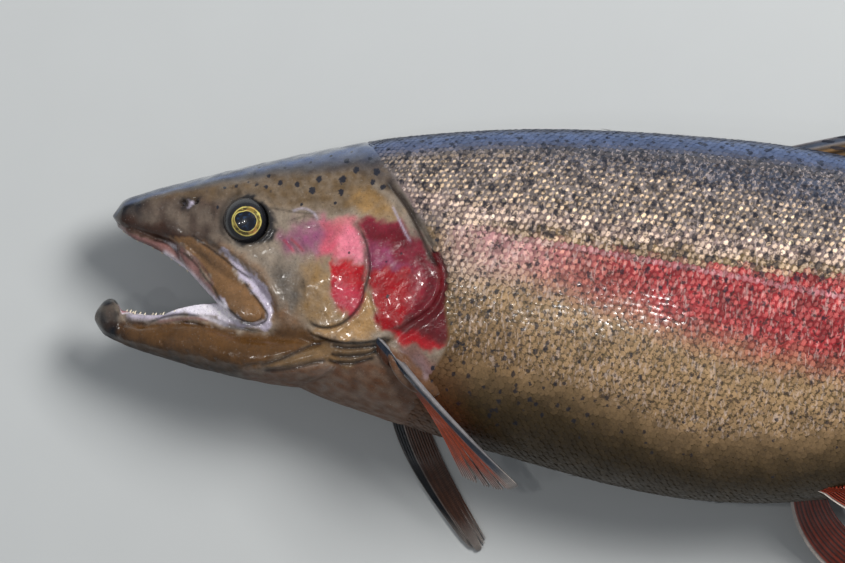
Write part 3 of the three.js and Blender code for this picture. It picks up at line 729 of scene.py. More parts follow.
# Two patches behind the gill cover.
PALE_PATCH = [(146, 12), (176, 8), (190, 0), (172, -10), (148, -14), (142, -10)]
OLIVE_PATCH = [(140, -20), (164, -20), (184, -34), (176, -50), (140, -50)]

# Where the trunk's spots begin and end, how far apart they may lie, and how narrow they are.
SPOTS_START, SPOTS_END = 112.0, 640
SPOT_PITCH_ALONG, SPOT_PITCH_ROUND = 5.6, 5.4
SPOT_NARROWNESS = 1.35

scales_start, slate_edge, belly_edge = through(SCALES_START), through(SLATE_EDGE), through(BELLY_EDGE)
stripe_top, stripe_foot = through(STRIPE_TOP), through(STRIPE_FOOT)


def over(ground, colour, share):
    """A ground with a colour laid over it by a share for each point."""
    return mix(ground, colour, np.asarray(share)[:, None])


def crest_paint(x, y, ground, by_name):
    """The crest's blue, a painted reflection of the sky narrowing towards the snout, over a ground colour."""
    width = 3.2 + 5.5 * smooth(x, 40, 120)
    below = smooth(y, back(x) - 1.8 * width, back(x) - width) * smooth(x, 8, 40)
    ground = over(ground, by_name["slate"], below * 0.8)
    # Painted reflection of the sky, partly the back's own steel blue.
    shine = smooth(y, back(x) - 1.2 * width, back(x) - 0.4 * width) * smooth(x, -4, 16)
    ground = over(ground, by_name["sheen"], shine * 0.8)
    # A painted highlight along the crest's rim.
    ground = over(ground, by_name["crest"], smooth(y, back(x) - 3.4, back(x) - 1.6) * 0.4)
    return over(ground, by_name["slate"], smooth(y, back(x) - 3, back(x) - 0.6) * 0.75)


def head_ground(points, by_name):
    """Colours of the head's skin at points of the fish."""
    x, y = points[:, 0], points[:, 1]
    across = x + waver(points, 7, 1) * 1.1 + waver(points, 2, 8) * 0.5
    up = y + waver(points, 6, 2) * 1.1 + waver(points, 2, 9) * 0.5
    ground = np.tile(by_name["temple"], (len(points), 1))
    for number, (name, softness, strength, outline) in enumerate(HEAD_ZONES):
        share = inside(across, up, outline, softness) * strength
        if softness >= PATCHY_SOFTNESS:
            share = share * (0.84 + 0.16 * waver(points, 3.5, FIRST_ZONE_SEED + number))
        ground = over(ground, by_name[name], share)
    ground = crest_paint(x, y + waver(points, 9, 7) * 0.5, ground, by_name)
    for name, reach, strength, line in HEAD_LINES:
        distance, run = beside(x, y, line)
        fade = smooth(run, 0, 0.08) * smooth(run, 1, 0.92)
        share = np.exp(-(distance / reach) ** 2) * fade * strength
        ground = over(ground, by_name[name], share)
    return over(ground, by_name["orbit"], inside(across, up, ORBIT, 1.3) * 0.95)


def in_mouth(points):
    """1 on the walls of the mouth's hollow, 0 on the outside."""
    x = points[:, 0]
    roof, floor = mouth_roof(x), mouth_floor(x)
    up = np.abs(points[:, 1] - (roof + floor) / 2) / ((roof - floor) / 2)
    out = np.abs(points[:, 2] - middle(x)) / mouth_half_width(x)
    filled = up ** 3.3 + out ** 2.5
    return smooth(filled, 1.6, 1.15) * (x > MOUTH_START - 1) * (x < MOUTH_END + 2)


def trunk_ground(points, by_name):
    """Colours between the scales and at their centres, at points of the trunk."""
    x = points[:, 0] + waver(points, 14, 4) * 3
    y = points[:, 1] + waver(points, 9, 5) * 1.6
    count = (len(points), 1)
    ground = np.tile(by_name["flank_low"], count)
    # gleam is the scales' pale centres: partly their own colour, partly a painted highlight.
    gleam = np.tile(by_name["flank_low_scale"], count)

    def lay(share, ground_name, gleam_name, gleam_share=1.0):
        nonlocal ground, gleam
        ground = over(ground, by_name[ground_name], share)
        gleam = over(gleam, by_name[gleam_name], np.asarray(share) * gleam_share)

    top, foot = stripe_top(x), stripe_foot(x)
    # Painted shade over the belly and the underside.
    lay(smooth(y, belly_edge(x) + 30, belly_edge(x) - 4), "belly", "belly")
    lay(smooth(x, 168, 136) * smooth(y, -34, -52) * 0.8, "throat", "throat")
    lay(smooth(y, foot + 6, top), "flank_high", "flank_high_scale")
    lay(np.exp(-((y - top - 8) / 5.5) ** 2) * 0.7, "cream", "cream_scale")
    lay(inside(x, y, PALE_PATCH, 9) * 0.6, "cream", "cream_scale")
    lay(inside(x, y, OLIVE_PATCH, 12) * 0.5, "fold", "fold")
    golden = np.exp(-((y - top - 3.2) / 3.4) ** 2) * smooth(x, 140, 190) * 0.75
    lay(golden, "flank_gold", "flank_gold", 0.55)
    redness = smooth(x, 150, 235) * smooth(x, 700, 560)
    band = smooth(y, foot - 10, foot + 12) * smooth(y, top + 2.5, top - 1.5)
    pale = band * smooth(x, 142, 165) * (1 - 0.8 * redness)
    lay(pale * 0.75, "stripe_pale", "stripe_pale", 0.8)
    lay(band * redness * 0.95, "stripe", "stripe_scale", 0.9)
    thread = np.exp(-((points[:, 1] - lateral_line(points[:, 0])) / 0.9) ** 2) * smooth(x, 150, 200)
    lay(thread * 0.3, "stripe_pale", "lilac", 1.0)
    lay(smooth(y, slate_edge(x) - 9, slate_edge(x) + 6), "back", "back", 0.85)
    return [crest_paint(x, points[:, 1], colour, by_name) for colour in (ground, gleam)]


def scaled(points):
    """1 where scales cover the skin, 0 on the head."""
    return smooth(points[:, 0] - scales_start(points[:, 1]), -1.2, 1.2)


def skin_ground(points):
    """Colours of the skin, head and trunk."""
    by_name = paints()
    head, trunk = head_ground(points, by_name), trunk_ground(points, by_name)[0]
    ground = over(head, trunk, scaled(points))
    out = np.abs(points[:, 2] - middle(points[:, 0])) / mouth_half_width(points[:, 0])
    # Painted light near the mouth's rim, fading to the mouth's own pink deeper in.
    inner = over(by_name["web"], by_name["mouth"], smooth(out, 1.0, 0.7))
    return over(ground, inner, in_mouth(points))


class Girth:
    """Places on the trunk by station and by distance round the body from the lateral line, up or down."""

    turns = np.linspace(-math.pi / 2, math.pi / 2, 361)

    def __init__(self, x, side, grow=0.0):
        self.ring = body_point(np.full(len(self.turns), float(x)), self.turns, grow, lowest=-90)
        self.way = np.concatenate([[0], np.cumsum(np.linalg.norm(np.diff(self.ring, axis=0), axis=1))])
        start = np.interp(float(lateral_line(x)), self.ring[:, 1], self.way)
        self.way = self.way - start
        if side < 0:
            self.ring[:, 2] = 2 * float(middle(x)) - self.ring[:, 2]

    def at(self, reach):
        return np.stack([np.interp(reach, self.way, self.ring[:, k]) for k in range(3)], -1)

    def ends(self):
        return self.way[0], self.way[-1]


def spot_places():
    """The fish's spots, on both sides: a point and a radius for each."""
    rng = random.Random(7)
    places = []
    for side in (1, -1):
        for x, y, radius in HEAD_SPOTS:
            shift = 0 if side > 0 else rng.uniform(-1.5, 1.5)
            z = float(middle(x)) + side * float(body_offset(x, y))
            places.append((x + shift, y - shift * 0.5, z, radius))
        x = SPOTS_START
        while x < SPOTS_END:
            girth = Girth(x, side)
            low, high = girth.ends()
            row = low
            while row < high:
                reach = row + rng.uniform(-2.2, 2.2)
                point = girth.at(reach)
                height = point[1] - float(lateral_line(x))
                row += SPOT_PITCH_ROUND
                if x < float(scales_start(point[1])) + 1.5:
                    continue
                keep, radius = spot_chance(x, height, reach / high if reach > 0 else reach / -low)
                if rng.random() < keep:
                    places.append((x + rng.uniform(-2.4, 2.4), *point[1:], radius * rng.uniform(0.75, 1.2)))
            x += SPOT_PITCH_ALONG
    return np.array(places)


def spot_chance(x, height, share):
    """How likely a spot is at a place of the trunk, and its radius."""
    if height > 3:
        return (0.9, 1.85 - 0.45 * share)
    if height > -12:
        return (0.45 + 0.4 * float(smooth(x, 190, 165)), 1.25)
    forward = float(smooth(x, 260, 190))
    rear = 0.5 * float(smooth(x, 400, 480))
    return (max(0.95 * forward, 0.55 + rear) * float(smooth(share, -0.8, -0.5)), 1.0 + 0.25 * forward)


def spot_field(points, places):
    """Distance to the nearest spot's centre in its radii: below 1 is inside a spot."""
    tree = kdtree.KDTree(len(places))
    squeeze = np.array([SPOT_NARROWNESS, 1, 1])
    for i, place in enumerate(places):
        tree.insert(place[:3] * squeeze, i)
    tree.balance()
    field = np.full(len(points), 9.0)
    for i, point in enumerate(points * squeeze):
        _, nearest, distance = tree.find(point)
        field[i] = min(distance / places[nearest][3], 9.0)
    return field


# ---------------------------------------------------------------- skin

# Forms modelled into the skin: kind, half width, height, line. An edge is raised on the right hand of its
# run.
STROKES = [
    ("edge", 1.3, 1.5, [(113, 28), (119.5, 21.5), (126.5, 13), (133.5, 2.8), (140.5, -7), (143.1, -16),
     (139.8, -25.4), (129.5, -35), (122.5, -42)]),
    ("groove", 1.6, 1.3, [(116, 27), (122, 20.5), (129, 12), (136, 1.8), (143.4, -8), (145.4, -16),
     (142, -26.6), (131.5, -36.6), (124, -44)]),
    ("edge", 0.9, 0.6, [(105.3, 9.7), (110.1, 0.7), (112.3, -8.6), (112.1, -19.9), (109.9, -28.7),
     (103.7, -36.2), (97, -39), (91, -38.3), (88, -36)]),
    ("beads", 0.7, 0.5, [(102.6, 9.4), (106.6, 2), (110.2, -6), (110.9, -12), (110.2, -19), (108.4, -27)]),
    ("groove", 0.9, 0.4, [(112.3, -22), (115.1, -29.1), (118.9, -37.4)]),
    ("edge", 1.0, 0.9, [(124, -40), (118, -42.5), (110, -44.2), (101, -44.4), (93, -42.8), (88, -40.5)]),
    ("groove", 1.0, 1.0, [(125.5, -40.5), (119, -44.6), (112, -46.4), (104, -47.2), (99, -46)]),
    ("groove", 1.0, 1.0, [(124, -43.5), (117, -47.8), (110.2, -50), (103.5, -50.6), (98.9, -49.7)]),
    ("groove", 0.9, 0.9, [(119, -49.5), (113, -52), (107.9, -53.5), (102, -53.6), (98.3, -52.3)]),
    ("groove", 1.2, 1.1, [(101, -45.2), (92.1, -46.6), (85.9, -49.9), (77.8, -54.5), (69.4, -57.9),
     (60, -60.8)]),
    ("groove", 1.1, 0.9, [(99, -52.6), (92, -54.8), (86.6, -56.6), (78, -58.9), (71, -59.8)]),
    ("ridge", 1.6, 0.5, [(96, -49), (88, -52.6), (80, -56.4), (72, -58.6)]),
    ("groove", 1.9, 1.4, [(36, -5.4), (47.2, -11.3), (52.9, -14.6), (58.6, -18.3), (63, -22.6), (67.1, -27),
     (70.7, -31), (73, -34.8), (72.6, -40)]),
    ("ridge", 1.8, 0.8, [(40, -4.6), (47, -7.8), (55, -11), (62, -15), (68, -20), (73, -26.5), (77, -34)]),
    ("groove", 0.8, 0.8, [(14, -8), (24, -9), (32, -12.4), (40.5, -18.4), (47, -26)]),
    ("ridge", 1.4, 0.5, [(2, -4.2), (9, -8), (18, -10.6), (27, -14.4), (35, -20), (41, -26)]),
    ("groove", 0.9, 0.8, [(18, -44.6), (21.7, -43.8), (26.9, -41.5), (33.2, -39.9), (39.7, -39.8),
     (45.1, -40), (49.5, -41), (55.1, -42.7), (60, -43), (69, -44), (76, -43)]),
    ("ridge", 1.2, 0.4, [(20, -46.6), (34, -43.4), (46, -42.4), (53, -44.6), (60, -46), (70, -46.2)]),
    ("ridge", 2.0, 0.35, [(46, -4.6), (50, -8.6), (57, -10.2), (65, -9), (72, -6)]),
    ("groove", 0.6, 0.25, [(72, 8.2), (77, 8.8), (84, 8.2), (92, 9.2)]),
    ("ridge", 1.1, 0.35, [(77, 8.8), (82, 10.6), (86.8, 9), (88.6, 6)]),
    ("groove", 0.7, 0.3, [(1, -41), (3, -42.6), (5.4, -43)]),
    ("groove", 0.6, 0.3, [(0.6, -43.6), (2.6, -44.8), (5, -45.2)]),
    ("ridge", 3.0, 0.7, [(44, 12.6), (52, 16.4), (62, 17.4), (72, 13.4)]),
    ("groove", 4.0, 0.7, [(28, 1), (38, 3), (45, 4.4)]),
    ("ridge", 4.5, 0.6, [(84, -22), (92, -20), (98, -14)]),
    ("groove", 3.0, 0.5, [(100, 16), (108, 13), (117, 13)]),
    ("groove", 0.8, 0.35, [(77, 4.2), (83, 2.2), (90, 2.8)]),
    ("groove", 0.6, 0.45, [(76, -4), (79, -6), (81, -9.4)]),
    ("groove", 0.6, 0.35, [(79, -2.6), (82.4, -4.4), (85, -7.4)]),
    ("groove", 1.6, 0.5, [(18, 3), (26, 5.4), (31, 6.6)]),
    ("ridge", 2.4, 0.6, [(10, 6), (22, 9.4), (34, 13.4), (46, 16.8)]),
    ("groove", 1.0, 0.5, [(9.5, -45.5), (8.2, -48), (7.6, -51)]),
    ("ridge", 0.8, 0.35, [(143, 6.4), (175.7, 6.1), (210.4, 3.8), (254, 0.3), (317.2, -5.3)]),
]
# The raised rim and the furrow round the eye, and the wall of its socket.
EYE_RIM, EYE_FURROW = 10.3, 12.6
SOCKET_WALL, SOCKET_DEPTH = (9.3, 8.6), 4.2
# Nostrils: place in the side view and radius. Pores have one size.
NOSTRILS = [(30.0, 8.2, 1.2), (35.6, 9.2, 1.1)]
PORES = [(41, -3.4), (47, -7.2), (54, -9.4), (62, -9.6), (69, -7.2), (74, -2.4), (15, 2.4), (22, 4.8),
         (27, -52.6), (38, -55.4), (50, -57.2), (62, -57.4), (73, -54.6), (96, -34.4), (102, -30.6),
         (106.5, -22.6), (107.6, -13.6), (105.6, -4.8), (45, 12.6), (53, 15.4), (66, 13.4), (76, 12.4)]
SKIN_NODES = ["head", "jaw_lower", "maxilla_left", "maxilla_right", "gill_cover_left", "gill_cover_right",
              "trunk_shoulder", "trunk_belly", "trunk_vent", "tail_stalk"]


# From here towards the tail the skin is under scales and may be coarse.
COARSE_START = 160


def body_ball():
    """The body from snout to tail root. Under the scales it lies deeper by their thickness."""
    depth = sizes().scale_thickness / MM

    def place(along, turn):
        x = BODY_END * along ** 1.45
        points = body_point(x, turn)
        grow = -depth * scaled(points)
        return body_point(x, turn, grow, lowest=SKIN_LOWEST + depth)

    return shaped_ball("body", 300, 128, place)


def jaw_ball():
    def place(along, turn):
        x = JAW_START + (JAW_END - JAW_START) * along ** 1.3
        centre, reach = (jaw_top(x) + jaw_bottom(x)) / 2, (jaw_top(x) - jaw_bottom(x)) / 2
        z = middle(np.maximum(x, 0)) + jaw_half_width(x) * power(np.cos(turn), 0.85)
        return np.stack([x, centre + reach * power(np.sin(turn), 0.85), z], 1)

    return shaped_ball("jaw", 120, 72, place)


def mouth_ball():
    def place(along, turn):
        x = mix(MOUTH_START, MOUTH_END, along)
        roof, floor = mouth_roof(x), mouth_floor(x)
        z = middle(x) + mouth_half_width(x) * power(np.cos(turn), 0.8)
        return np.stack([x, (roof + floor) / 2 + (roof - floor) / 2 * power(np.sin(turn), 0.6), z], 1)

    return shaped_ball("mouth_hollow", 48, 40, place)


def upper_jaw_ball(side):
    """The long bone beside the mouth: a paddle that widens towards the mouth's corner."""
    a, b = np.array(MAXILLA_FROM, float), np.array(MAXILLA_TO, float)
    along_way = (b - a) / np.linalg.norm(b - a)

    def place(along, turn):
        rounding = rounded_ends(along, 4)
        half = mix(2.6, 6.8, np.sqrt(along)) * rounding
        across = half * np.sin(turn) - 1.6 * np.sin(math.pi * along)
        x = a[0] + (b[0] - a[0]) * along - along_way[1] * across
        y = a[1] + (b[1] - a[1]) * along + along_way[0] * across
        spread = body_offset(a[0] + (b[0] - a[0]) * along, np.maximum(a[1] + (b[1] - a[1]) * along, -24))
        z = middle(x) + side * (spread - 0.3 + 3.2 * rounding * np.cos(turn))
        return np.stack([x, y, z], 1)

    return shaped_ball("upper_jaw", 40, 32, place)


def mouth_corner(side):
    """The pale web that closes the mouth's corner between the two jaws."""
    top, foot = through(MOUTH_CORNER_TOP), through(MOUTH_CORNER_FOOT)

    def place(along, turn):
        x = mix(26.5, 73, along)
        rounding = rounded_ends(along, 8)
        half = (top(x) - foot(x)) / 2
        y = (top(x) + foot(x)) / 2 + half * power(np.sin(turn), 0.8) * rounding
        away = jaw_half_width(x) - 5.5 - 1.2 * smooth(x, 52, 66)
        return np.stack([x, y, middle(x) + side * (away + 1.5 * rounding * power(np.cos(turn), 0.8))], 1)

    return shaped_ball("mouth_corner", 48, 24, place)


def fin_lobe(side):
    """The fleshy lobe behind the gill cover that a pectoral fin grows from."""
    a, b = np.array((124.0, -45.5)), np.array((147.0, -63.5))
    ahead = (b - a) / np.linalg.norm(b - a)

    def place(along, turn):
        rounding = rounded_ends(along, 2)
        across = 4.6 * rounding * np.sin(turn) - 2.4 * np.sin(math.pi * along)
        x = mix(a[0], b[0], along) - ahead[1] * across
        y = mix(a[1], b[1], along) + ahead[0] * across
        spread = body_offset(mix(a[0], b[0], along), mix(a[1], b[1], along))
        return np.stack([x, y, middle(x) + side * (spread + 0.6 + 1.9 * rounding * np.cos(turn))], 1)

    return shaped_ball("fin_lobe", 40, 28, place)


def gum_route(line, edge, towards):
    """A gum's centre line, from one corner of the mouth past the front to the other."""
    steps = 40
    share = np.linspace(-1, 1, 2 * steps + 1)
    x = mix(line[0][0], line[-1][0], np.abs(share) ** 1.2)
    y = through(line)(x) - towards * GUM_RADIUS
    return np.stack([x, y, middle(x) + np.clip(share * 6, -1, 1) * edge(x)], 1)


def gum_routes():
    """The upper and the lower gum's centre line, each with the way its teeth point, up or down."""
    upper = gum_route(UPPER_GUM, lambda x: np.maximum(half_width(x) * 0.78 - 2.2, 1.2), -1)
    lower = gum_route(LOWER_GUM, lambda x: jaw_half_width(x) - 4.4, 1)
    return [(upper, -1), (lower, 1)]


def gum_ball(route):
    """A round bar along a gum's route."""
    share = np.linspace(0, 1, len(route))
    ahead = np.gradient(route, axis=0)
    ahead /= np.linalg.norm(ahead, axis=1)[:, None]

    def place(along, turn):
        centre = np.stack([np.interp(along, share, route[:, k]) for k in range(3)], 1)
        run = np.stack([np.interp(along, share, ahead[:, k]) for k in range(3)], 1)
        sideways = np.cross(run, (0, 1, 0))
        sideways /= np.linalg.norm(sideways, axis=1)[:, None]
        radius = GUM_RADIUS * rounded_ends(along, 8)[:, None]
        upward = np.cross(sideways, run)
        return centre + radius * (sideways * np.cos(turn)[:, None] + upward * np.sin(turn)[:, None])

    return shaped_ball("gum", 90, 16, place)


def stroke_height(points):
    """How far the modelled forms raise or sink the outer skin."""
    x, y = points[:, 0], points[:, 1]
    height = np.zeros(len(points))
    for kind, reach, size, line in STROKES:
        distance, run = beside(x, y, line)
        fade = smooth(run, 0, 0.14) * smooth(run, 1, 0.86)
        if kind == "edge":
            plate = smooth(distance, -0.5, 0.4) * np.exp(-np.maximum(distance, 0) / (4 * reach))
            gap = np.exp(-((distance + 0.8 * reach) / (0.7 * reach)) ** 2)
            height += fade * size * (plate - 0.45 * gap)
        else:
            sign = -1 if kind == "groove" else 1
            beaded = 0.5 + 0.5 * np.sin(run * 90 + 2 * np.sin(run * 31)) if kind == "beads" else 1.0
            height += sign * fade * size * beaded * np.exp(-(distance / reach) ** 2)
    for px, py, radius in NOSTRILS:
        distance = np.hypot(x - px, y - py)
        height -= 2.2 * np.exp(-(distance / radius) ** 4)
        height += 0.22 * np.exp(-((distance - radius - 0.9) / 0.8) ** 2)
    for px, py in PORES:
        height -= 0.4 * np.exp(-(((x - px) ** 2 + (y - py) ** 2) / 0.4))
    from_eye = np.hypot(x - EYE_X, y - EYE_Y)
    rim = 0.5 * np.exp(-((from_eye - EYE_RIM) / 1.1) ** 2)
    height += rim - 0.25 * np.exp(-((from_eye - EYE_FURROW) / 1.2) ** 2)
    height -= SOCKET_DEPTH * smooth(from_eye, *SOCKET_WALL)
    return height


def sculpt(skin):
    """Raises and sinks the skin along its normals."""
    points, normals = points_of(skin), normals_of(skin)
    outer = (1 - in_mouth(points)) * smooth(points[:, 0], 330, 300)
    facing = smooth(np.abs(normals[:, 2]), 0.02, 0.25)
    on_side = np.sign(points[:, 2] - middle(points[:, 0])) * normals[:, 2] > 0
    height = stroke_height(points) * outer * facing * on_side
    ripple = waver(points, 5, 11) * 0.10 + waver(points, 11, 12) * 0.16 + waver(points, 2.2, 13) * 0.006
    height += ripple * outer * (1 - scaled(points))
    points += normals * height[:, None]
    points[:, 2] = rest_on_floor(points[:, 2], SKIN_LOWEST)
    put_points(skin, points)


def thin_out(piece, where, share):
    """Keeps only a share of the faces at the points that where() chooses."""
    only(piece)
    bpy.ops.object.mode_set(mode="EDIT")
    bpy.ops.mesh.select_all(action="DESELECT")
    bpy.ops.object.mode_set(mode="OBJECT")
    piece.data.vertices.foreach_set("select", where(points_of(piece)))
    bpy.ops.object.mode_set(mode="EDIT")
    bpy.ops.mesh.select_mode(type="VERT")
    bpy.ops.mesh.decimate(ratio=share)
    bpy.ops.object.mode_set(mode="OBJECT")


def under_scales(points):
    return points[:, 0] > COARSE_START


def underneath(points):
    return (points[:, 0] < COARSE_START) & (points[:, 2] < middle(points[:, 0]) - 3)


def deep_in_mouth(points):
    return in_mouth(points) > 0.9


class TROUT_OT_skin(bpy.types.Operator):
    """Model the one skin of head, jaws, gill covers and trunk"""

    bl_idname = "trout.skin"
    bl_label = "Skin"

    def execute(self, context):
        hollow = mouth_ball()
        body, jaw = body_ball(), jaw_ball()
        for piece in (body, jaw):
            cut_out(piece, hollow)
        discard(hollow)
        gums = [gum_ball(route) for route, _ in gum_routes()]
        paired = [shape(side) for shape in (upper_jaw_ball, mouth_corner, fin_lobe) for side in (1, -1)]
        skin = joined([body, jaw, *paired, *gums], "skin")
        grain = sizes().skin_grain * 1
        apply(skin, "REMESH", mode="VOXEL", voxel_size=grain)
        apply(skin, "SMOOTH", iterations=3, factor=0.5)
        sculpt(skin)
        apply(skin, "SMOOTH", iterations=1, factor=0.4)
        for where, share in ((under_scales, 0.045), (underneath, 0.2), (deep_in_mouth, 0.3)):
            thin_out(skin, where, share)
        points = points_of(skin)
        give(skin, "ground", skin_ground(points))
        give(skin, "spot", spot_field(points, spot_places()))
        give(skin, "wet", smooth(normals_of(skin)[:, 1], -0.9, -0.55))
        bpy.ops.object.shade_smooth()
        settle(skin, look("trout_skin"), "skin", *SKIN_NODES)
        return {"FINISHED"}


# ---------------------------------------------------------------- scales

SCALE_SIDES = 9
SCALES_FRONT, SCALES_END = 96.0, 646
SCALE_STRETCHES = [("shoulder", 95, 232), ("flank", 232, 352), ("rear", 352, 460), ("tail", 460, 660)]
# A scale's half length and half breadth, as shares of its size, and its bulge, as a share of the coat's depth.
SCALE_LENGTH, SCALE_BREADTH, SCALE_BULGE = 0.86, 0.74, 0.22
# A scale's own small turn in its place.
SCALE_TURN = 0.14
# Where scales lie on the map of places that their faces carry.
MAP_MARGIN, MAP_PER_MM = 0.02, 0.0028
# Size of a scale's own patch on that map.
COAT_PATCH = 0.003


def scale_shape():
    """One scale, a rounded shingle: places backwards, upwards and outwards, and its triangles' corners."""

    def place(along, turn):
        rank = np.round(along * 3)
        reach = np.select([rank == 1, rank == 2], [0.6, 1.0], 0.0)
        forward, sideways = reach * np.cos(turn), reach * np.sin(turn)
        height = np.select([rank == 0, rank == 1, rank == 2], [1.0, 0.8, 0.3], -0.3)
        return np.stack([forward, sideways, height], 1)

    piece = shaped_ball("scale", 3, SCALE_SIDES, place)
    shape = points_of(piece)
    apply(piece, "TRIANGULATE")
    corners = np.empty(len(piece.data.loops), int)
    piece.data.loops.foreach_get("vertex_index", corners)
    discard(piece)
    return shape, corners.reshape(-1, 3)


def scale_spacing(x):
    """Distance between neighbouring scales: smaller at the shoulder and towards the tail."""
    shape = smooth(x, 100, 170) * 0.22 + 0.78 - 0.30 * smooth(x, 330, 620)
    return sizes().scale_pitch / MM * shape


def scale_roots(side):
    """Where the scales of one side sit: roots, backward and upward directions, sizes and map places."""
    rng = random.Random(20 + side)
    rows = {"root": [], "aft": [], "up": [], "size": [], "shine": [], "map": [], "seed": []}
    x, odd = SCALES_FRONT, 0
    while x < SCALES_END + 2:
        here = {step: Girth(x + step, side) for step in (-1, 0, 1)}
        pitch = float(scale_spacing(x))
        low, high = here[0].ends()
        count_low, count_high = int(low / pitch), int(high / pitch)
        numbers = [n for n in range(count_low, count_high + 1) if (n + odd) % 2 == 0]
        reach = np.array([n + rng.uniform(-0.14, 0.14) for n in numbers]) * pitch
        root = here[0].at(reach)
        aft = here[1].at(reach) - here[-1].at(reach)
        up = here[0].at(reach + 0.5) - here[0].at(reach - 0.5)
        for i, n in enumerate(numbers):
            begins = float(scales_start(root[i, 1])) + rng.uniform(-0.6, 0.6)
            ends = SCALES_END + 2.2 * math.cos(root[i, 1] * 0.2)
            if not begins < x < ends:
                continue
            shift = aft[i] / 2 * rng.uniform(-0.14, 0.14) * pitch
            rows["root"].append(root[i] + shift)
            rows["aft"].append(aft[i])
            rows["up"].append(up[i])
            rows["size"].append(pitch * rng.uniform(0.92, 1.08) * mix(0.72, 1, min((x - begins) / 14, 1)))
            rows["shine"].append(mix(0.3, 1, min((x - begins) / 12, 1)) * rng.uniform(0.35, 1.1))
            rows["map"].append((MAP_MARGIN + 0.96 * x / BODY_END,
                                0.5 + side * (high - reach[i]) * MAP_PER_MM))
            rows["seed"].append((rng.random(), rng.uniform(-1, 1), rng.random()))
        x += pitch / 2
        odd = 1 - odd
    return {key: np.array(value) for key, value in rows.items()}


def unit(vectors):
    return vectors / np.linalg.norm(vectors, axis=-1, keepdims=True)


def dot_sizes(roots):
    """How wide the pale centre of each scale is: a small dot high on the flank and most of the scale below.

    It is widest on the belly and the crest, where scales are of one colour and dull.
    """
    x, y = roots[:, 0], roots[:, 1]
    top, foot = stripe_top(x), stripe_foot(x)
    wide = mix(0.20, 0.30, smooth(y, top + 24, top + 6))
    wide = mix(wide, 0.42, smooth(y, foot + 8, foot - 8)) + waver(roots, 9, 14) * 0.04
    dull = smooth(y, belly_edge(x) + 24, belly_edge(x) + 8)
    return mix(wide, 0.7, np.maximum(dull, 0.8 * smooth(y, back(x) - 15, back(x) - 6)))


def scale_coat(name, rows, shape, corners, spots):
    """Many scales as one piece."""
    count, per = len(rows["root"]), len(shape)
    aft, up = unit(rows["aft"]), unit(rows["up"])
    out = unit(np.cross(aft, up))
    out *= np.sign(out[:, 2] * (rows["root"][:, 2] - middle(rows["root"][:, 0])))[:, None]
    turn = rows["seed"][:, 1] * SCALE_TURN
    aft, up = (aft * np.cos(turn)[:, None] + up * np.sin(turn)[:, None],
               up * np.cos(turn)[:, None] - aft * np.sin(turn)[:, None])
    size = rows["size"][:, None]
    thickness, lift = sizes().scale_thickness / MM, sizes().scale_lift / MM
    lift = lift * mix(0.5, 1.5, rows["seed"][:, 0])[:, None]
    forward, sideways, high = shape[None, :, 0], shape[None, :, 1], shape[None, :, 2]
    rear = (forward + 1) / 2
    along = forward * size * (SCALE_LENGTH - 0.06 * sideways ** 2) + size * 0.12
    across = sideways * size * SCALE_BREADTH * (1 - 0.12 * forward)
    height = high * SCALE_BULGE * thickness + rear ** 1.3 * (lift + thickness * 0.45) - thickness
    points = (rows["root"][:, None] + aft[:, None] * along[..., None] + up[:, None] * across[..., None]
              + out[:, None] * height[..., None])
    flat = points.reshape(-1, 3)
    flat[:, 2] = np.maximum(flat[:, 2], SCALES_LOWEST)
    faces = (np.arange(count) * per)[:, None, None] + corners[None]
    mesh = bpy.data.meshes.new(name)
    world = (flat - (ORIGIN_X, ORIGIN_Y, 0)) * MM
    mesh.from_pydata(world, [], faces.reshape(-1, 3))
    piece = bpy.data.objects.new(name, mesh)
    bpy.context.scene.collection.objects.link(piece)
    ground, gleam = trunk_ground(rows["root"], paints())
    even = smooth(dot_sizes(rows["root"]), 0.27, 0.38) * 0.7
    gleam = np.clip(mix(ground, gleam, mix(rows["shine"], 0.85, even)[:, None]), 0, 1)
    give(piece, "ground", np.repeat(ground, per, 0))
    # Each scale's pale centre: partly its own colour, partly a painted highlight.
    give(piece, "gleam", np.repeat(gleam, per, 0))
    give(piece, "spot", spot_field(flat, spots))
    lie = np.stack([np.tile(rear[0], count), np.tile(sideways[0] / 2 + 0.5, count),
                    np.repeat(rows["seed"][:, 2], per)], 1)
    give(piece, "lie", lie)
    give(piece, "dot", np.repeat(dot_sizes(rows["root"]), per))
    places = rows["map"][:, None] + shape[None, :, :2] * COAT_PATCH / 2
    uv = mesh.uv_layers.new(name="OFBake")
    uv.data.foreach_set("uv", places.reshape(-1, 2)[faces.ravel()].astype(np.float32).ravel())
    only(piece)
    bpy.ops.object.shade_smooth_by_angle(angle=math.radians(40))
    settle(piece, look("trout_scales"), "scales")
    return piece


class TROUT_OT_scales(bpy.types.Operator):
    """Lay the overlapping scales over the trunk, in one coat for each side and stretch"""

    bl_idname = "trout.scales"
    bl_label = "Scales"

    def execute(self, context):
        shape, corners = scale_shape()
        spots = spot_places()
        for side, side_name in ((1, "left"), (-1, "right")):
            rows = scale_roots(side)
            for stretch, start, end in SCALE_STRETCHES:
                chosen = (rows["root"][:, 0] >= start) & (rows["root"][:, 0] < end)
                part = {key: value[chosen] for key, value in rows.items()}
                scale_coat(f"scales_{side_name}_{stretch}", part, shape, corners, spots)
        return {"FINISHED"}


# ---------------------------------------------------------------- eyes, teeth and tongue

PUPIL_RADIUS, IRIS_RADIUS = 4.15, 6.5
PUPIL_POINT = math.radians(162)  # the way the pupil's point looks, forwards and a little up


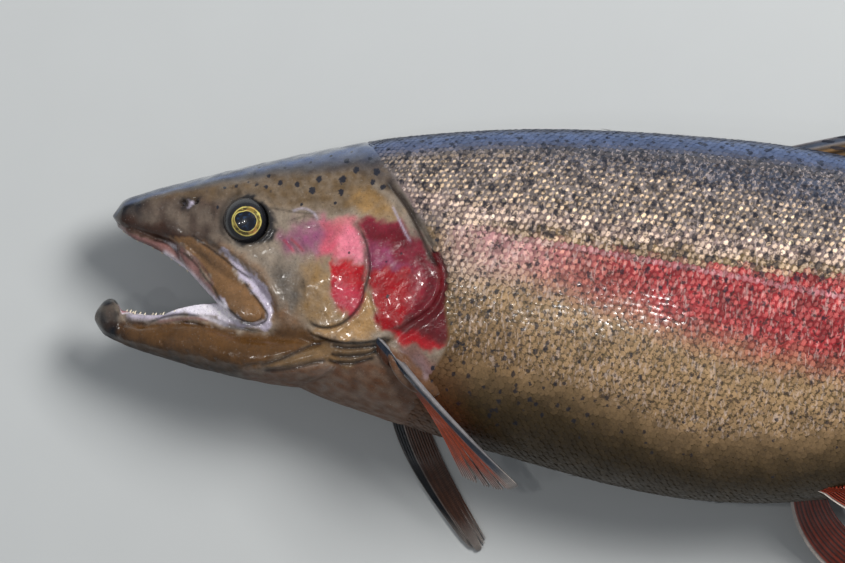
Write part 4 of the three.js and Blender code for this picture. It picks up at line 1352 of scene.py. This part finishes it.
def eye_ball(side):
    depth = float(body_offset(EYE_X, EYE_Y)) + EYE_BULGE - EYE_RADIUS * EYE_FLATNESS
    centre = np.array([EYE_X, EYE_Y, float(middle(EYE_X)) + side * depth])

    def place(along, turn):
        out = side * np.cos(along * math.pi) * EYE_RADIUS * EYE_FLATNESS
        reach = EYE_RADIUS * np.sin(along * math.pi)
        local = np.stack([reach * np.cos(turn), reach * np.sin(turn), out], 1)
        return centre + local

    piece = shaped_ball("eyeball_left" if side > 0 else "eyeball_right", 72, 64, place)
    local = points_of(piece) - centre
    clock = np.arctan2(local[:, 1], local[:, 0])
    facing = local[:, 2] * side > 0
    reach = np.hypot(local[:, 0], local[:, 1])
    reach = np.where(facing, reach, 2 * EYE_RADIUS - reach)
    give(piece, "reach", reach)
    point = np.maximum(np.cos(clock - PUPIL_POINT), 0) ** 6
    give(piece, "pupil_reach", reach - point)
    give(piece, "clock", clock)
    return piece


class TROUT_OT_eyes(bpy.types.Operator):
    """Model the two eyes, each a flattened ball in its socket"""

    bl_idname = "trout.eyes"
    bl_label = "Eyes"

    def execute(self, context):
        for side, name in ((1, "eye_left"), (-1, "eye_right")):
            piece = eye_ball(side)
            bpy.ops.object.shade_smooth()
            settle(piece, look("trout_eyes"), "eyes", name)
        return {"FINISHED"}


TOOTH_PITCH, TOOTH_HEIGHT, TOOTH_RADIUS = 4.6, (1.3, 2.0), (0.42, 0.55)


def tooth_at(root, lean, height, radius):
    """A small curved cone on a gum."""
    def place(along, turn):
        reach = radius * np.sqrt(np.clip(along * 1.3, 0, 1)) * smooth(along, 1.02, 0.9)
        rise = height * (1 - along)
        hook = 0.35 * rise ** 2 / height
        return root + np.stack([reach * np.cos(turn) + hook, lean * rise - lean * 0.4,
                                reach * np.sin(turn)], 1)

    return shaped_ball("tooth", 6, 8, place)


class TROUT_OT_teeth(bpy.types.Operator):
    """Model the small hooked teeth of both jaws as one piece"""

    bl_idname = "trout.teeth"
    bl_label = "Teeth"

    def execute(self, context):
        rng = random.Random(5)
        teeth = []
        for route, towards in gum_routes():
            way = np.concatenate([[0], np.cumsum(np.linalg.norm(np.diff(route, axis=0), axis=1))])
            for at in np.arange(3.0, way[-1] - 2, TOOTH_PITCH):
                at += rng.uniform(-0.7, 0.7)
                root = np.array([np.interp(at, way, route[:, k]) for k in range(3)])
                root[1] += towards * (GUM_RADIUS - 0.25)
                teeth.append(tooth_at(root, towards, rng.uniform(*TOOTH_HEIGHT), rng.uniform(*TOOTH_RADIUS)))
        piece = joined(teeth, "teeth")
        bpy.ops.object.shade_smooth()
        settle(piece, look("trout_teeth"), "teeth")
        return {"FINISHED"}


class TROUT_OT_tongue(bpy.types.Operator):
    """Model the tongue, with a groove along its middle"""

    bl_idname = "trout.tongue"
    bl_label = "Tongue"

    def execute(self, context):
        low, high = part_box("tongue")
        start, end = low.x / MM + ORIGIN_X, high.x / MM + ORIGIN_X
        level = (low.y + high.y) / 2 / MM + ORIGIN_Y
        half_high, half_wide = (high.y - low.y) / 2 / MM, (high.z - low.z) / 2 / MM

        def place(along, turn):
            x = mix(start, end, along)
            rounding = rounded_ends(along, 4)
            groove = 0.8 * np.exp(-(np.cos(turn) / 0.22) ** 2) * (np.sin(turn) > 0)
            y = level + (half_high - groove) * rounding * np.sin(turn)
            return np.stack([x, y, middle(x) + half_wide * 0.94 * rounding * np.cos(turn)], 1)

        piece = shaped_ball("tongue_flesh", 60, 48, place)
        bpy.ops.object.shade_smooth()
        settle(piece, look("trout_flesh"), "mouth", "tongue")
        return {"FINISHED"}


# ---------------------------------------------------------------- fins

# How far each pelvic fin's root stands from the middle plane, and the station where the tail fin grows.
PELVIC_SPREAD = 15
TAIL_ROOT = 636.0


def ray_profile(u, v, rays):
    """How full the fin is at a place: 1 on a ray and 0 between two. Rays fork towards the tips."""
    single = np.abs(np.cos(math.pi * rays * u)) ** 1.2
    forked = np.abs(np.cos(2 * math.pi * rays * u)) ** 1.1
    return mix(single, forked, smooth(v, 0.42, 0.62))


def tip_shape(u, rays, rng, wear):
    """Length of the fin along its edge, as a share: scalloped between rays, with a few tears."""
    scallop = 1 - 0.5 * wear * (1 - np.abs(np.cos(2 * math.pi * rays * u)))
    tears = np.ones_like(u)
    for _ in range(5):
        at, deep = rng.uniform(0.08, 0.97), rng.uniform(0.4, 1.6) * wear
        tears -= deep * np.exp(-((u - at) * rays / 0.22) ** 2)
    return scallop * tears


def fin(name, surface, rays, thick, colour, seed, sink=0.1, wear=0.06, spots=None, fine=(9, 44)):
    """A fin of rays as a closed sheet. surface(u, v) places it, u across the rays and v along them.

    thick is its thickness at the root and the tip, sink how far it runs into the body as a share of its
    length, and wear how ragged its edge is. fine is the steps across a ray and along it.
    """
    columns, steps = rays * fine[0], fine[1]
    piece = primitive(name + "_rays", "grid", x_subdivisions=columns, y_subdivisions=steps, size=1)
    u, free = coordinates(piece)[:, :2].T + 0.5
    v = free * (1 + sink) - sink
    rng = random.Random(seed)
    edge = tip_shape(u, rays, rng, wear)
    worn = np.where(v > 0, v * mix(1, edge, smooth(v, 0.5, 1)), v)
    points = surface(u, worn)
    put_points(piece, points)
    fullness = ray_profile(u, np.maximum(v, 0), rays)
    root_thick, tip_thick = thick
    thickness = mix(root_thick, tip_thick, np.sqrt(np.maximum(v, 0)))
    thickness *= mix(0.55, 1.0, fullness)
    thickness = np.maximum(thickness, 0.5)
    group = piece.vertex_groups.new(name="thickness")
    weights = thickness / thickness.max()
    for i, weight in enumerate(weights):
        group.add([i], float(weight), "REPLACE")
    give(piece, "ground", colour(u, np.maximum(v, 0), fullness))
    give(piece, "ray", fullness)
    give(piece, "reach", v)
    give(piece, "spot", spots(u, v) if spots else np.full(len(u), 9.0))
    apply(piece, "SOLIDIFY", thickness=float(thickness.max()) * MM, offset=0.0,
          vertex_group="thickness", thickness_vertex_group=0.0)
    points = points_of(piece)
    points[:, 2] = np.maximum(points[:, 2], FINS_LOWEST)
    put_points(piece, points)
    face_outwards(piece)
    bpy.ops.object.shade_smooth()
    settle(piece, look("trout_fins"), "fins", name)
    return piece


def middle_fin(start, end, angles, lengths, sag, bow, edge):
    """The surface of a fin in the middle plane. edge is the line of the back or belly that carries it."""
    way = 1 if angles[0] > 0 else -1

    def surface(u, v):
        x = mix(start, end, u)
        turn = np.radians(mix(angles[0], angles[1], u))
        reach = mix(lengths[0], lengths[1], u ** 0.8) * (1 - 0.1 * (1 - u) ** 6) * v
        swell = bow * way * np.sin(math.pi * np.maximum(v, 0)) * (1 - u)
        y = edge(x) - 1.5 * way + reach * np.sin(turn) + swell
        z = middle(x) + sag * np.maximum(v, 0) ** 2 + 0.5 * np.sin(9 * u + 2 * v) * np.maximum(v, 0)
        return np.stack([x + reach * np.cos(turn), y, z], 1)

    return surface


def tail_surface(u, v):
    out = 1 - 2 * u
    length = mix(72, 97, np.abs(out) ** 1.6) * (1 - 0.06 * np.abs(out) ** 9)
    turn = np.radians(31 * power(out, 0.9))
    droop = np.minimum(np.maximum(v, 0) * 1.08, 1) ** 1.2
    y = mix(back(TAIL_ROOT) - 1, belly(TAIL_ROOT) + 1, u) + v * length * np.sin(turn)
    return np.stack([TAIL_ROOT + v * length * np.cos(turn), y, mix(middle(TAIL_ROOT), 0.6, droop)], 1)


def ray_point(root, tips, bow, u, v, spread=0.0):
    """A place on a paired fin in the side view. spread widens the fin halfway along."""
    swell = 1 + 0.06 * np.sin(math.pi * u)
    start = [mix(root[0][i], root[1][i], u) for i in (0, 1)]
    x, y = [(mix(tips[0][i], tips[1][i], u) - start[i]) * swell for i in (0, 1)]
    bend = (bow + spread * (u - 0.5)) * np.sin(math.pi * np.maximum(v, 0) ** 0.75) / np.hypot(x, y)
    return start, start[0] + v * x + bend * y, start[1] + v * y - bend * x


def raised_pectoral(u, v):
    root, x, y = ray_point([(126.5, -47), (124, -51.5)], [(185, -99), (161, -97.5)], -1.25, u, v, -5.5)
    away = np.maximum(v, 0)
    height = middle(root[0]) + body_offset(root[0], root[1]) + 0.5 * (1 - u)
    return np.stack([x, y, height + 9 * (1 - u) * np.sin(math.pi * away) - 24 * away ** 2], 1)


def lying_fin(root, tips, bow, root_height, touchdown, spread=0.0):
    def surface(u, v):
        start, x, y = ray_point(root, tips, bow, u, v, spread)
        drop = np.maximum(1 - np.maximum(v, 0) / touchdown, 0) ** 1.6
        return np.stack([x, y, mix(0.6, root_height(*start), drop)], 1)

    return surface


def right_flank(x, y):
    """Height of the skin that the right pectoral fin grows from."""
    return middle(x) - body_offset(x, y) + 0.4


def under_belly(x, _):
    """Height at which the right pelvic fin grows out beside the belly."""
    return middle(x) - PELVIC_SPREAD


def folded_pelvic(u, v):
    start, x, y = ray_point([(315, -89), (329, -86)], [(384, -114), (391, -92)], 3, u, v)
    return np.stack([x, y, middle(start[0]) + PELVIC_SPREAD + 4 * u - 9 * np.maximum(v, 0) ** 2], 1)


def fin_paint(lead, inner, tip, lead_width=0.2, tip_start=0.8, base=None, lead_taper=0.0):
    """Colours of a fin: a leading edge with pale rims, an inner field, worn tips and a fleshy base."""
    def colour(u, v, fullness):
        by_name = paints()
        field = mix(by_name[inner] * 0.12, by_name[inner], fullness[:, None])
        field *= mix(0.75, 1.25, np.sin(37 * u + 3) * 0.5 + 0.5)[:, None]
        if base:
            field = mix(by_name[base], field, smooth(v, 0.2, 0.5)[:, None])
        width = lead_width * (1 - lead_taper * v)
        leading = smooth(u, width * 1.15, width * 0.85)[:, None]
        field = mix(field, by_name[lead], leading)
        rim = np.exp(-((u - width) / 0.022) ** 2) + np.exp(-(u / 0.03) ** 2)
        field = mix(field, by_name["fin_tip"], np.minimum(rim, 1)[:, None] * 0.35)
        worn = smooth(v, tip_start, 1.0)[:, None] * 0.9
        field = mix(field, by_name["fin_dark"], worn * 0.8)
        return mix(field, by_name[tip], worn * fullness[:, None] ** 1.5)

    return colour


def spot_rows(rows, across_count, size, seed):
    """Spots on a fin in rows across its rays: distance to the nearest in its radii."""
    rng = np.random.default_rng(seed)
    places = [((k + 0.5 + rng.uniform(-0.4, 0.4)) / across_count, row + rng.uniform(-0.06, 0.06),
               rng.uniform(0.5, 1.15)) for row in rows for k in range(across_count)]

    def field(u, v):
        nearest = np.full(len(u), 9.0)
        for at_u, at_v, breadth in places:
            distance = np.hypot((u - at_u) * across_count * 1.5, (v - at_v) / size)
            nearest = np.minimum(nearest, distance / breadth)
        return nearest

    return field


class TROUT_OT_fins(bpy.types.Operator):
    """Model the eight fins as sheets of forked rays"""

    bl_idname = "trout.fins"
    bl_label = "Fins"

    def execute(self, context):
        rays = sizes().fin_rays
        upper = fin_paint("fin_olive", "fin_olive", "fin_brown", 0.1, 0.85)
        lower = fin_paint("fin_brown", "fin_olive", "fin_tip", 0.1, 0.9)
        golden = fin_paint("fin_slate", "fold", "fin_tip", 0.1, 0.88)
        thin, flat = (3, 1.1), (1.2, 1.2)
        fin("dorsal_fin", middle_fin(284, 372, (14, 10), (72, 27), -4, 1.5, back), 12, thin, golden, seed=31,
            sink=0.125, spots=spot_rows((0.2, 0.38, 0.56, 0.74), 12, 0.055, 1))
        fin("adipose_fin", middle_fin(500, 519, (36, 20), (24, 13), -1.5, 2, back), 5, (4.5, 2.2),
            fin_paint("fin_olive", "fin_olive", "fin_dark", 0.1, 0.55), seed=32, sink=0.375, wear=0.01)
        fin("anal_fin", middle_fin(462, 528, (-52, -24), (60, 25), -9, 3, belly), 11, thin, lower, seed=33,
            sink=0.15)
        fin("tail_fin", tail_surface, 19, (4, 1.2), upper, seed=34, sink=0.08, wear=0.04,
            spots=spot_rows((0.16, 0.32, 0.48, 0.64, 0.8), 19, 0.045, 2))
        fin("pectoral_fin_left", raised_pectoral, rays, (3.4, 1.1),
            fin_paint("fin_slate", "fin_red", "fin_tip", 0.5, 0.8, "fin_brown", 0.65), seed=35, sink=0.12,
            wear=0.12)
        fin("pectoral_fin_right",
            lying_fin([(127, -45), (136, -50)], [(164, -127), (174, -125)], 9, right_flank, 0.4, -7), rays,
            flat, fin_paint("fin_dark", "fin_brown", "fin_tip", 0.3), seed=36, sink=0.06, wear=0.08)
        pelvic = fin_paint("fin_tip", "fin_rust", "fin_tip", 0.07, 0.9)
        fin("pelvic_fin_left", folded_pelvic, 10, thin, pelvic, seed=37)
        fin("pelvic_fin_right",
            lying_fin([(303, -91), (318, -89)], [(356, -141), (376, -118)], 10, under_belly, 0.8), 10,
            flat, pelvic, seed=38, sink=0.06)
        return {"FINISHED"}


# ---------------------------------------------------------------- materials

# Small touches of colour inside the materials, in linear values.
FRECKLE, SPECK = (0.02, 0.016, 0.016, 1), (0.6, 0.55, 0.52, 1)
# The first is painted shade darkening the scales' rear edges and sides; flecks and pits are the scales' own
# marks.
SCALE_EDGE_SHADE, SCALE_FLECK, SCALE_PIT = (0.012, 0.01, 0.012, 1), (0.8, 0.66, 0.62, 1), (0.02, 0.014, 0.014, 1)
IRIS_STREAK, IRIS_GREEN, IRIS_RUST = (0.045, 0.036, 0.01, 1), (0.42, 0.4, 0.1, 1), (0.4, 0.17, 0.06, 1)
EYE_DARK, PUPIL_BLUE = (0.012, 0.012, 0.015, 1), (0.012, 0.035, 0.085, 1)


def spots_group():
    """Inks spots over a colour, with ragged edges. A spot's field is below 1 inside it."""
    def build(n, given):
        ragged = n.times(n.minus(n.noise(900, 2), 0.5), given["Raggedness"])
        field = n.plus(n.value("spot"), n.times(ragged, 2.0))
        mask = n.times(n.rise(field, 1.12, 0.72), given["Strength"])
        return {"Colour": n.blend(mask, given["Colour"], given["Ink"])}

    return shader_group("Trout spots", {
        "Colour": (0.5, 0.5, 0.5, 1), "Ink": (0, 0, 0, 1), "Strength": 0.9, "Raggedness": 0.5,
    }, {"Colour": "NodeSocketColor"}, build)


def mottle_group():
    """Varies a colour over large and small patches, as living skin does."""
    def build(n, given):
        patches = n.noise(given["Patches"], 4, 0.6)
        grain = n.noise(given["Grain"], 3)
        level = n.plus(n.times(patches, 0.6), n.times(grain, 0.4))
        spread = n.times(n.minus(level, 0.5), given["Strength"])
        return {"Colour": n.scaled(given["Colour"], n.plus(1.0, n.times(spread, 2.6))), "Grain": grain}

    return shader_group("Trout mottle", {
        "Colour": (0.5, 0.5, 0.5, 1), "Patches": 160.0, "Grain": 900.0, "Strength": 0.5,
    }, {"Colour": "NodeSocketColor", "Grain": "NodeSocketFloat"}, build)


def skin_look(n):
    """Wet skin with freckles, pale specks and pits. It is dull on the belly."""
    freckles = n.times(n.rise(n.noise(1500, 2), 0.6, 0.7), 0.4)
    specks = n.times(n.rise(n.noise(1150, 1), 0.7, 0.78), 0.22)
    freckled = n.blend(freckles, n.mottled(n.colour("ground"), 150.0, 800.0, 0.55)["Colour"], FRECKLE)
    freckled = n.blend(specks, freckled, SPECK)
    dull = n.times(n.minus(1.0, n.value("wet")), 0.35)
    pits = n.add("ShaderNodeTexVoronoi", {"feature": "F1"}, Vector=n.place(), Scale=620.0)
    height = n.plus(n.times(n.noise(520, 5), 0.5), n.times(pits.outputs["Distance"], 0.3))
    return {
        "Base_Color": n.spotted(freckled, 0.92, 0.7),
        "Roughness": n.plus(n.rise(n.noise(260, 3), 0.3, 0.7, 0.16, 0.34), dull),
        "Normal": n.bump(height, 0.36, 0.0007),
        "Coat_Weight": n.times(n.rise(n.noise(120, 3), 0.35, 0.65, 0.4, 1.0), n.value("wet")),
        "Coat_Roughness": 0.1,
        "Specular_IOR_Level": 0.4,
    }


def scale_look(n):
    """Scales: a pale ragged centre, partly the scale's own colour and partly a painted highlight, on a darker
    ground with painted shade at the edges, spots over many scales, and a wet coat.

    Where the centre is wide, as on the belly and the crest, the scales are plainer, duller and more alike.
    """
    lie = n.add("ShaderNodeSeparateColor", Color=n.colour("lie")).outputs
    rear, across, seed = lie[0], n.minus(lie[1], 0.5), lie[2]
    plain = n.rise(n.value("dot"), 0.27, 0.38)
    lively = n.rise(n.value("dot"), 0.62, 0.48)

    def by(share, low, high):
        return n.rise(share, 0.0, 1.0, low, high)

    # The pale centre: partly the scale's own colour, partly a painted highlight where its dome would catch
    # light.
    behind = n.times(n.minus(n.minus(rear, 0.74), n.times(across, 0.35)), 1.35)
    from_centre = n.math("SQRT", n.plus(n.times(behind, behind), n.times(across, across)))
    ragged = n.times(n.minus(n.noise(1500, 3), 0.5), by(plain, 0.4, 1.0))
    reach = n.plus(n.value("dot"), ragged)
    shine = n.rise(from_centre, n.plus(reach, 0.07), n.minus(reach, 0.10))
    centred = n.blend(shine, n.colour("ground"), n.colour("gleam"))
    # Painted shade darkening each scale's rear edge and sides, less on plain scales.
    edge = n.plus(n.rise(rear, 0.86, 0.99), n.rise(n.math("ABSOLUTE", across), 0.36, 0.5, 0.0, 0.6))
    edge_shaded = n.blend(n.times(edge, by(plain, 0.42, 0.12)), centred, SCALE_EDGE_SHADE)
    level = n.plus(0.5, n.times(n.minus(seed, 0.5), by(plain, 1.0, 0.3)))
    varied = n.scaled(edge_shaded, by(level, 0.68, 1.3))

    streaks = n.add("ShaderNodeMapping", Vector=n.place(), Rotation=(0, 0, 0.3), Scale=(1.0, 0.3, 1.0))
    flecks = n.times(n.rise(n.noise(800, 4, 0.5, streaks.outputs[0]), 0.52, 0.66), lively)
    pits = n.times(n.rise(n.noise(620, 3, 0.3), 0.46, 0.35), by(lively, 0.3, 1.0))
    flecked = n.blend(n.times(flecks, 0.65), varied, n.blend(0.45, varied, SCALE_FLECK))
    pitted = n.blend(n.times(pits, 0.75), flecked, SCALE_PIT)
    dull = n.times(n.minus(1.0, lively), 0.22)
    return {
        "Base_Color": n.spotted(n.mottled(pitted, 110.0, 1300.0, 0.6)["Colour"], 0.78, 0.7),
        "Roughness": n.plus(n.rise(n.noise(500, 2), 0.3, 0.7, 0.28, 0.45), dull),
        "Normal": n.bump(n.noise(1300, 3), 0.25, 0.0003),
        "Coat_Weight": n.times(n.rise(n.noise(60, 2), 0.35, 0.65, 0.2, 0.65), by(lively, 0.25, 1.0)),
        "Coat_Roughness": 0.11,
        "Specular_IOR_Level": 0.35,
    }


def fin_look(n):
    """Fins: colour by ray and web, with the joints of the rays in relief."""
    joints = n.math("SINE", n.times(n.value("reach"), 190.0))
    return {
        "Base_Color": n.spotted(n.mottled(n.colour("ground"), 220.0, 1200.0, 0.5)["Colour"], 0.85, 0.6),
        "Roughness": n.rise(n.noise(300, 2), 0.3, 0.7, 0.3, 0.48),
        "Normal": n.bump(n.plus(n.value("ray"), n.times(joints, 0.06)), 0.4, 0.0004),
        "Coat_Weight": n.rise(n.noise(90, 2), 0.35, 0.65, 0.3, 0.8),
        "Coat_Roughness": 0.15,
    }


def eye_look(n):
    """The eye: a blue-black pupil in a gold iris with pale edges, dark outside, under a clear wet coat."""
    by_name = {name: rgba(value) for name, value in paints().items()}
    uneven = n.times(n.minus(n.noise(500, 2), 0.5), 0.5)
    reach, pupil_reach = [n.plus(n.value(name), uneven) for name in ("reach", "pupil_reach")]
    gold = n.blend(n.rise(n.noise(420, 5, 1.2), 0.4, 0.6), by_name["iris"], IRIS_STREAK)
    gold = n.blend(n.rise(n.noise(260, 3, 0.8), 0.52, 0.66), gold, IRIS_GREEN)
    gold = n.blend(n.rise(n.noise(190, 2), 0.54, 0.7), gold, IRIS_RUST)
    inner = n.times(n.rise(pupil_reach, PUPIL_RADIUS, PUPIL_RADIUS + 0.2),
                    n.rise(pupil_reach, PUPIL_RADIUS + 0.6, PUPIL_RADIUS + 0.35))
    outer = n.times(n.rise(reach, IRIS_RADIUS - 0.75, IRIS_RADIUS - 0.45),
                    n.rise(reach, IRIS_RADIUS - 0.1, IRIS_RADIUS - 0.25))
    ring = n.times(n.math("MAXIMUM", inner, outer), n.rise(n.noise(330, 3), 0.3, 0.6, 0.35, 1.0))
    rims = n.blend(ring, gold, by_name["iris_rim"])
    dark = n.blend(n.rise(reach, IRIS_RADIUS - 0.15, IRIS_RADIUS + 0.15), rims, EYE_DARK)
    pupil = n.blend(n.rise(n.noise(520, 3), 0.5, 0.68), by_name["pupil"], PUPIL_BLUE)
    return {
        "Base_Color": n.blend(n.rise(pupil_reach, PUPIL_RADIUS + 0.2, PUPIL_RADIUS - 0.05), dark, pupil),
        "Roughness": n.rise(n.noise(300, 1), 0.3, 0.7, 0.2, 0.3),
        "Coat_Weight": 1.0,
        "Coat_Roughness": 0.03,
        "Coat_IOR": 1.45,
    }


def tooth_look(n):
    ivory = n.mottled(rgba(paints()["tooth"]), 500.0, 1500.0, 0.2)["Colour"]
    return {"Base_Color": ivory, "Roughness": 0.25}


def flesh_look(n):
    mottled = n.mottled(rgba(paints()["lilac"]), 260.0, 900.0, 0.4)
    return {
        "Base_Color": mottled["Colour"],
        "Roughness": n.rise(mottled["Grain"], 0.3, 0.7, 0.2, 0.4),
        "Normal": n.bump(n.noise(900, 3), 0.3, 0.0004),
        "Coat_Weight": 0.7,
        "Coat_Roughness": 0.12,
    }


def floor_look(n):
    pale = n.mottled(rgba(paints()["floor"]), 3.0, 40.0, 0.03)["Colour"]
    return {"Base_Color": pale, "Roughness": 0.7}


LOOKS = {
    "trout_skin": skin_look, "trout_scales": scale_look, "trout_fins": fin_look, "trout_eyes": eye_look,
    "trout_teeth": tooth_look, "trout_flesh": flesh_look, "studio_floor": floor_look,
}


def look(name):
    """The material of this name, made when it is first asked for."""
    if name not in bpy.data.materials:
        material = bpy.data.materials.new(name)
        material.use_nodes = True
        n = Nodes(material.node_tree)
        n.fill(material.node_tree.nodes["Principled BSDF"], **LOOKS[name](n))
    return bpy.data.materials[name]


# ---------------------------------------------------------------- studio

FLOOR_SIZE, FLOOR_GAP = 6, 0.0006
KEY_PLACE, LIT_PLACE = (0.8, 0.95, 1.7), (-0.05, 0, 0.03)
# Small lamps whose mirror images are the bright spots on the wet fish: name, place, power.
GLINTS = [("trunk_glint", (-0.52, 0.0, 2.0), 2.5), ("gill_glint", (-0.82, -0.21, 2.0), 1.1),
          ("cheek_glint", (-1.38, -0.43, 2.0), 1.6)]
CAMERA_PLACE = (-0.1144, 0.0043, 2.54)
CAMERA_ROLL, SENSOR_WIDTH = 5.5, 36
PICTURE_PIXELS, MM_PER_PIXEL = 845, 0.43
FRAME_WIDTH = PICTURE_PIXELS * MM_PER_PIXEL * MM
SUBJECT_DISTANCE = 2.5


def lamp(name, place, target, size, power, colour, mirrored=True):
    """A soft rectangular lamp that faces target. One that isn't mirrored leaves no shine on wet skin."""
    data = bpy.data.lights.new(name, "AREA")
    data.shape, data.size, data.size_y = "RECTANGLE", *size
    data.energy, data.color = power, colour
    lit = bpy.data.objects.new(name, data)
    lit.location = place
    lit.visible_glossy = mirrored
    lit.rotation_euler = (Vector(target) - Vector(place)).to_track_quat("-Z", "Y").to_euler()
    bpy.context.scene.collection.objects.link(lit)


def studio_floor():
    floor = primitive("studio_floor", "plane", size=FLOOR_SIZE, location=(0, 0, -FLOOR_GAP))
    floor.data.materials.append(look("studio_floor"))


class TROUT_OT_stage(bpy.types.Operator):
    """Set up the pale floor, the soft lamps and the camera"""

    bl_idname = "trout.stage"
    bl_label = "Studio"

    def execute(self, context):
        scene = context.scene
        studio_floor()
        lamp("key", KEY_PLACE, LIT_PLACE, (0.9, 0.9), 46, (1, 0.97, 0.93), False)
        lamp("sheen", KEY_PLACE, LIT_PLACE, (0.3, 0.3), 3.5, (1, 0.98, 0.95))
        lamp("back", (-0.2, 1.5, 0.25), (-0.05, 0, 0.05), (2.6, 0.4), 8, (0.8, 0.9, 1.0), False)
        for name, place, power in GLINTS:
            lamp(name, place, (-0.1, 0, 0.05), (0.06, 0.06), power, (1, 0.98, 0.95))
        world = bpy.data.worlds.new("studio")
        scene.world = world
        world.use_nodes = True
        sky = world.node_tree.nodes["Background"].inputs
        sky["Color"].default_value = (0.86, 0.9, 0.95, 1)
        sky["Strength"].default_value = 0.22
        data = bpy.data.cameras.new("camera")
        camera = bpy.data.objects.new("camera", data)
        data.sensor_fit, data.sensor_width = "HORIZONTAL", SENSOR_WIDTH
        data.lens = data.sensor_width * SUBJECT_DISTANCE / FRAME_WIDTH
        camera.location = CAMERA_PLACE
        camera.rotation_euler = (0, 0, math.radians(CAMERA_ROLL))
        scene.collection.objects.link(camera)
        scene.camera = camera
        scene.view_settings.view_transform = "Standard"
        return {"FINISHED"}


# ---------------------------------------------------------------- panel and run

OPERATORS = (TROUT_OT_skin, TROUT_OT_scales, TROUT_OT_eyes, TROUT_OT_teeth, TROUT_OT_tongue, TROUT_OT_fins,
             TROUT_OT_stage)


class TROUT_PT_panel(bpy.types.Panel):
    """Lists the steps and the sizes of the trout"""

    bl_label = "Rainbow trout"
    bl_idname = "TROUT_PT_panel"
    bl_space_type = "VIEW_3D"
    bl_region_type = "UI"
    bl_category = "Trout"

    def draw(self, context):
        for operator in OPERATORS:
            self.layout.operator(operator.bl_idname)
        for group in (context.scene.trout_sizes, context.scene.trout_colours):
            for name in type(group).__annotations__:
                self.layout.prop(group, name)


CLASSES = (TroutColours, TroutSizes, *OPERATORS, TROUT_PT_panel)


def register():
    for cls in CLASSES:
        bpy.utils.register_class(cls)
    bpy.types.Scene.trout_colours = bpy.props.PointerProperty(type=TroutColours)
    bpy.types.Scene.trout_sizes = bpy.props.PointerProperty(type=TroutSizes)


def unregister():
    del bpy.types.Scene.trout_sizes
    del bpy.types.Scene.trout_colours
    for cls in reversed(CLASSES):
        bpy.utils.unregister_class(cls)


def main():
    register()
    for operator in OPERATORS:
        getattr(bpy.ops.trout, operator.bl_idname.split(".")[1])()


if __name__ == "__main__":
    main()
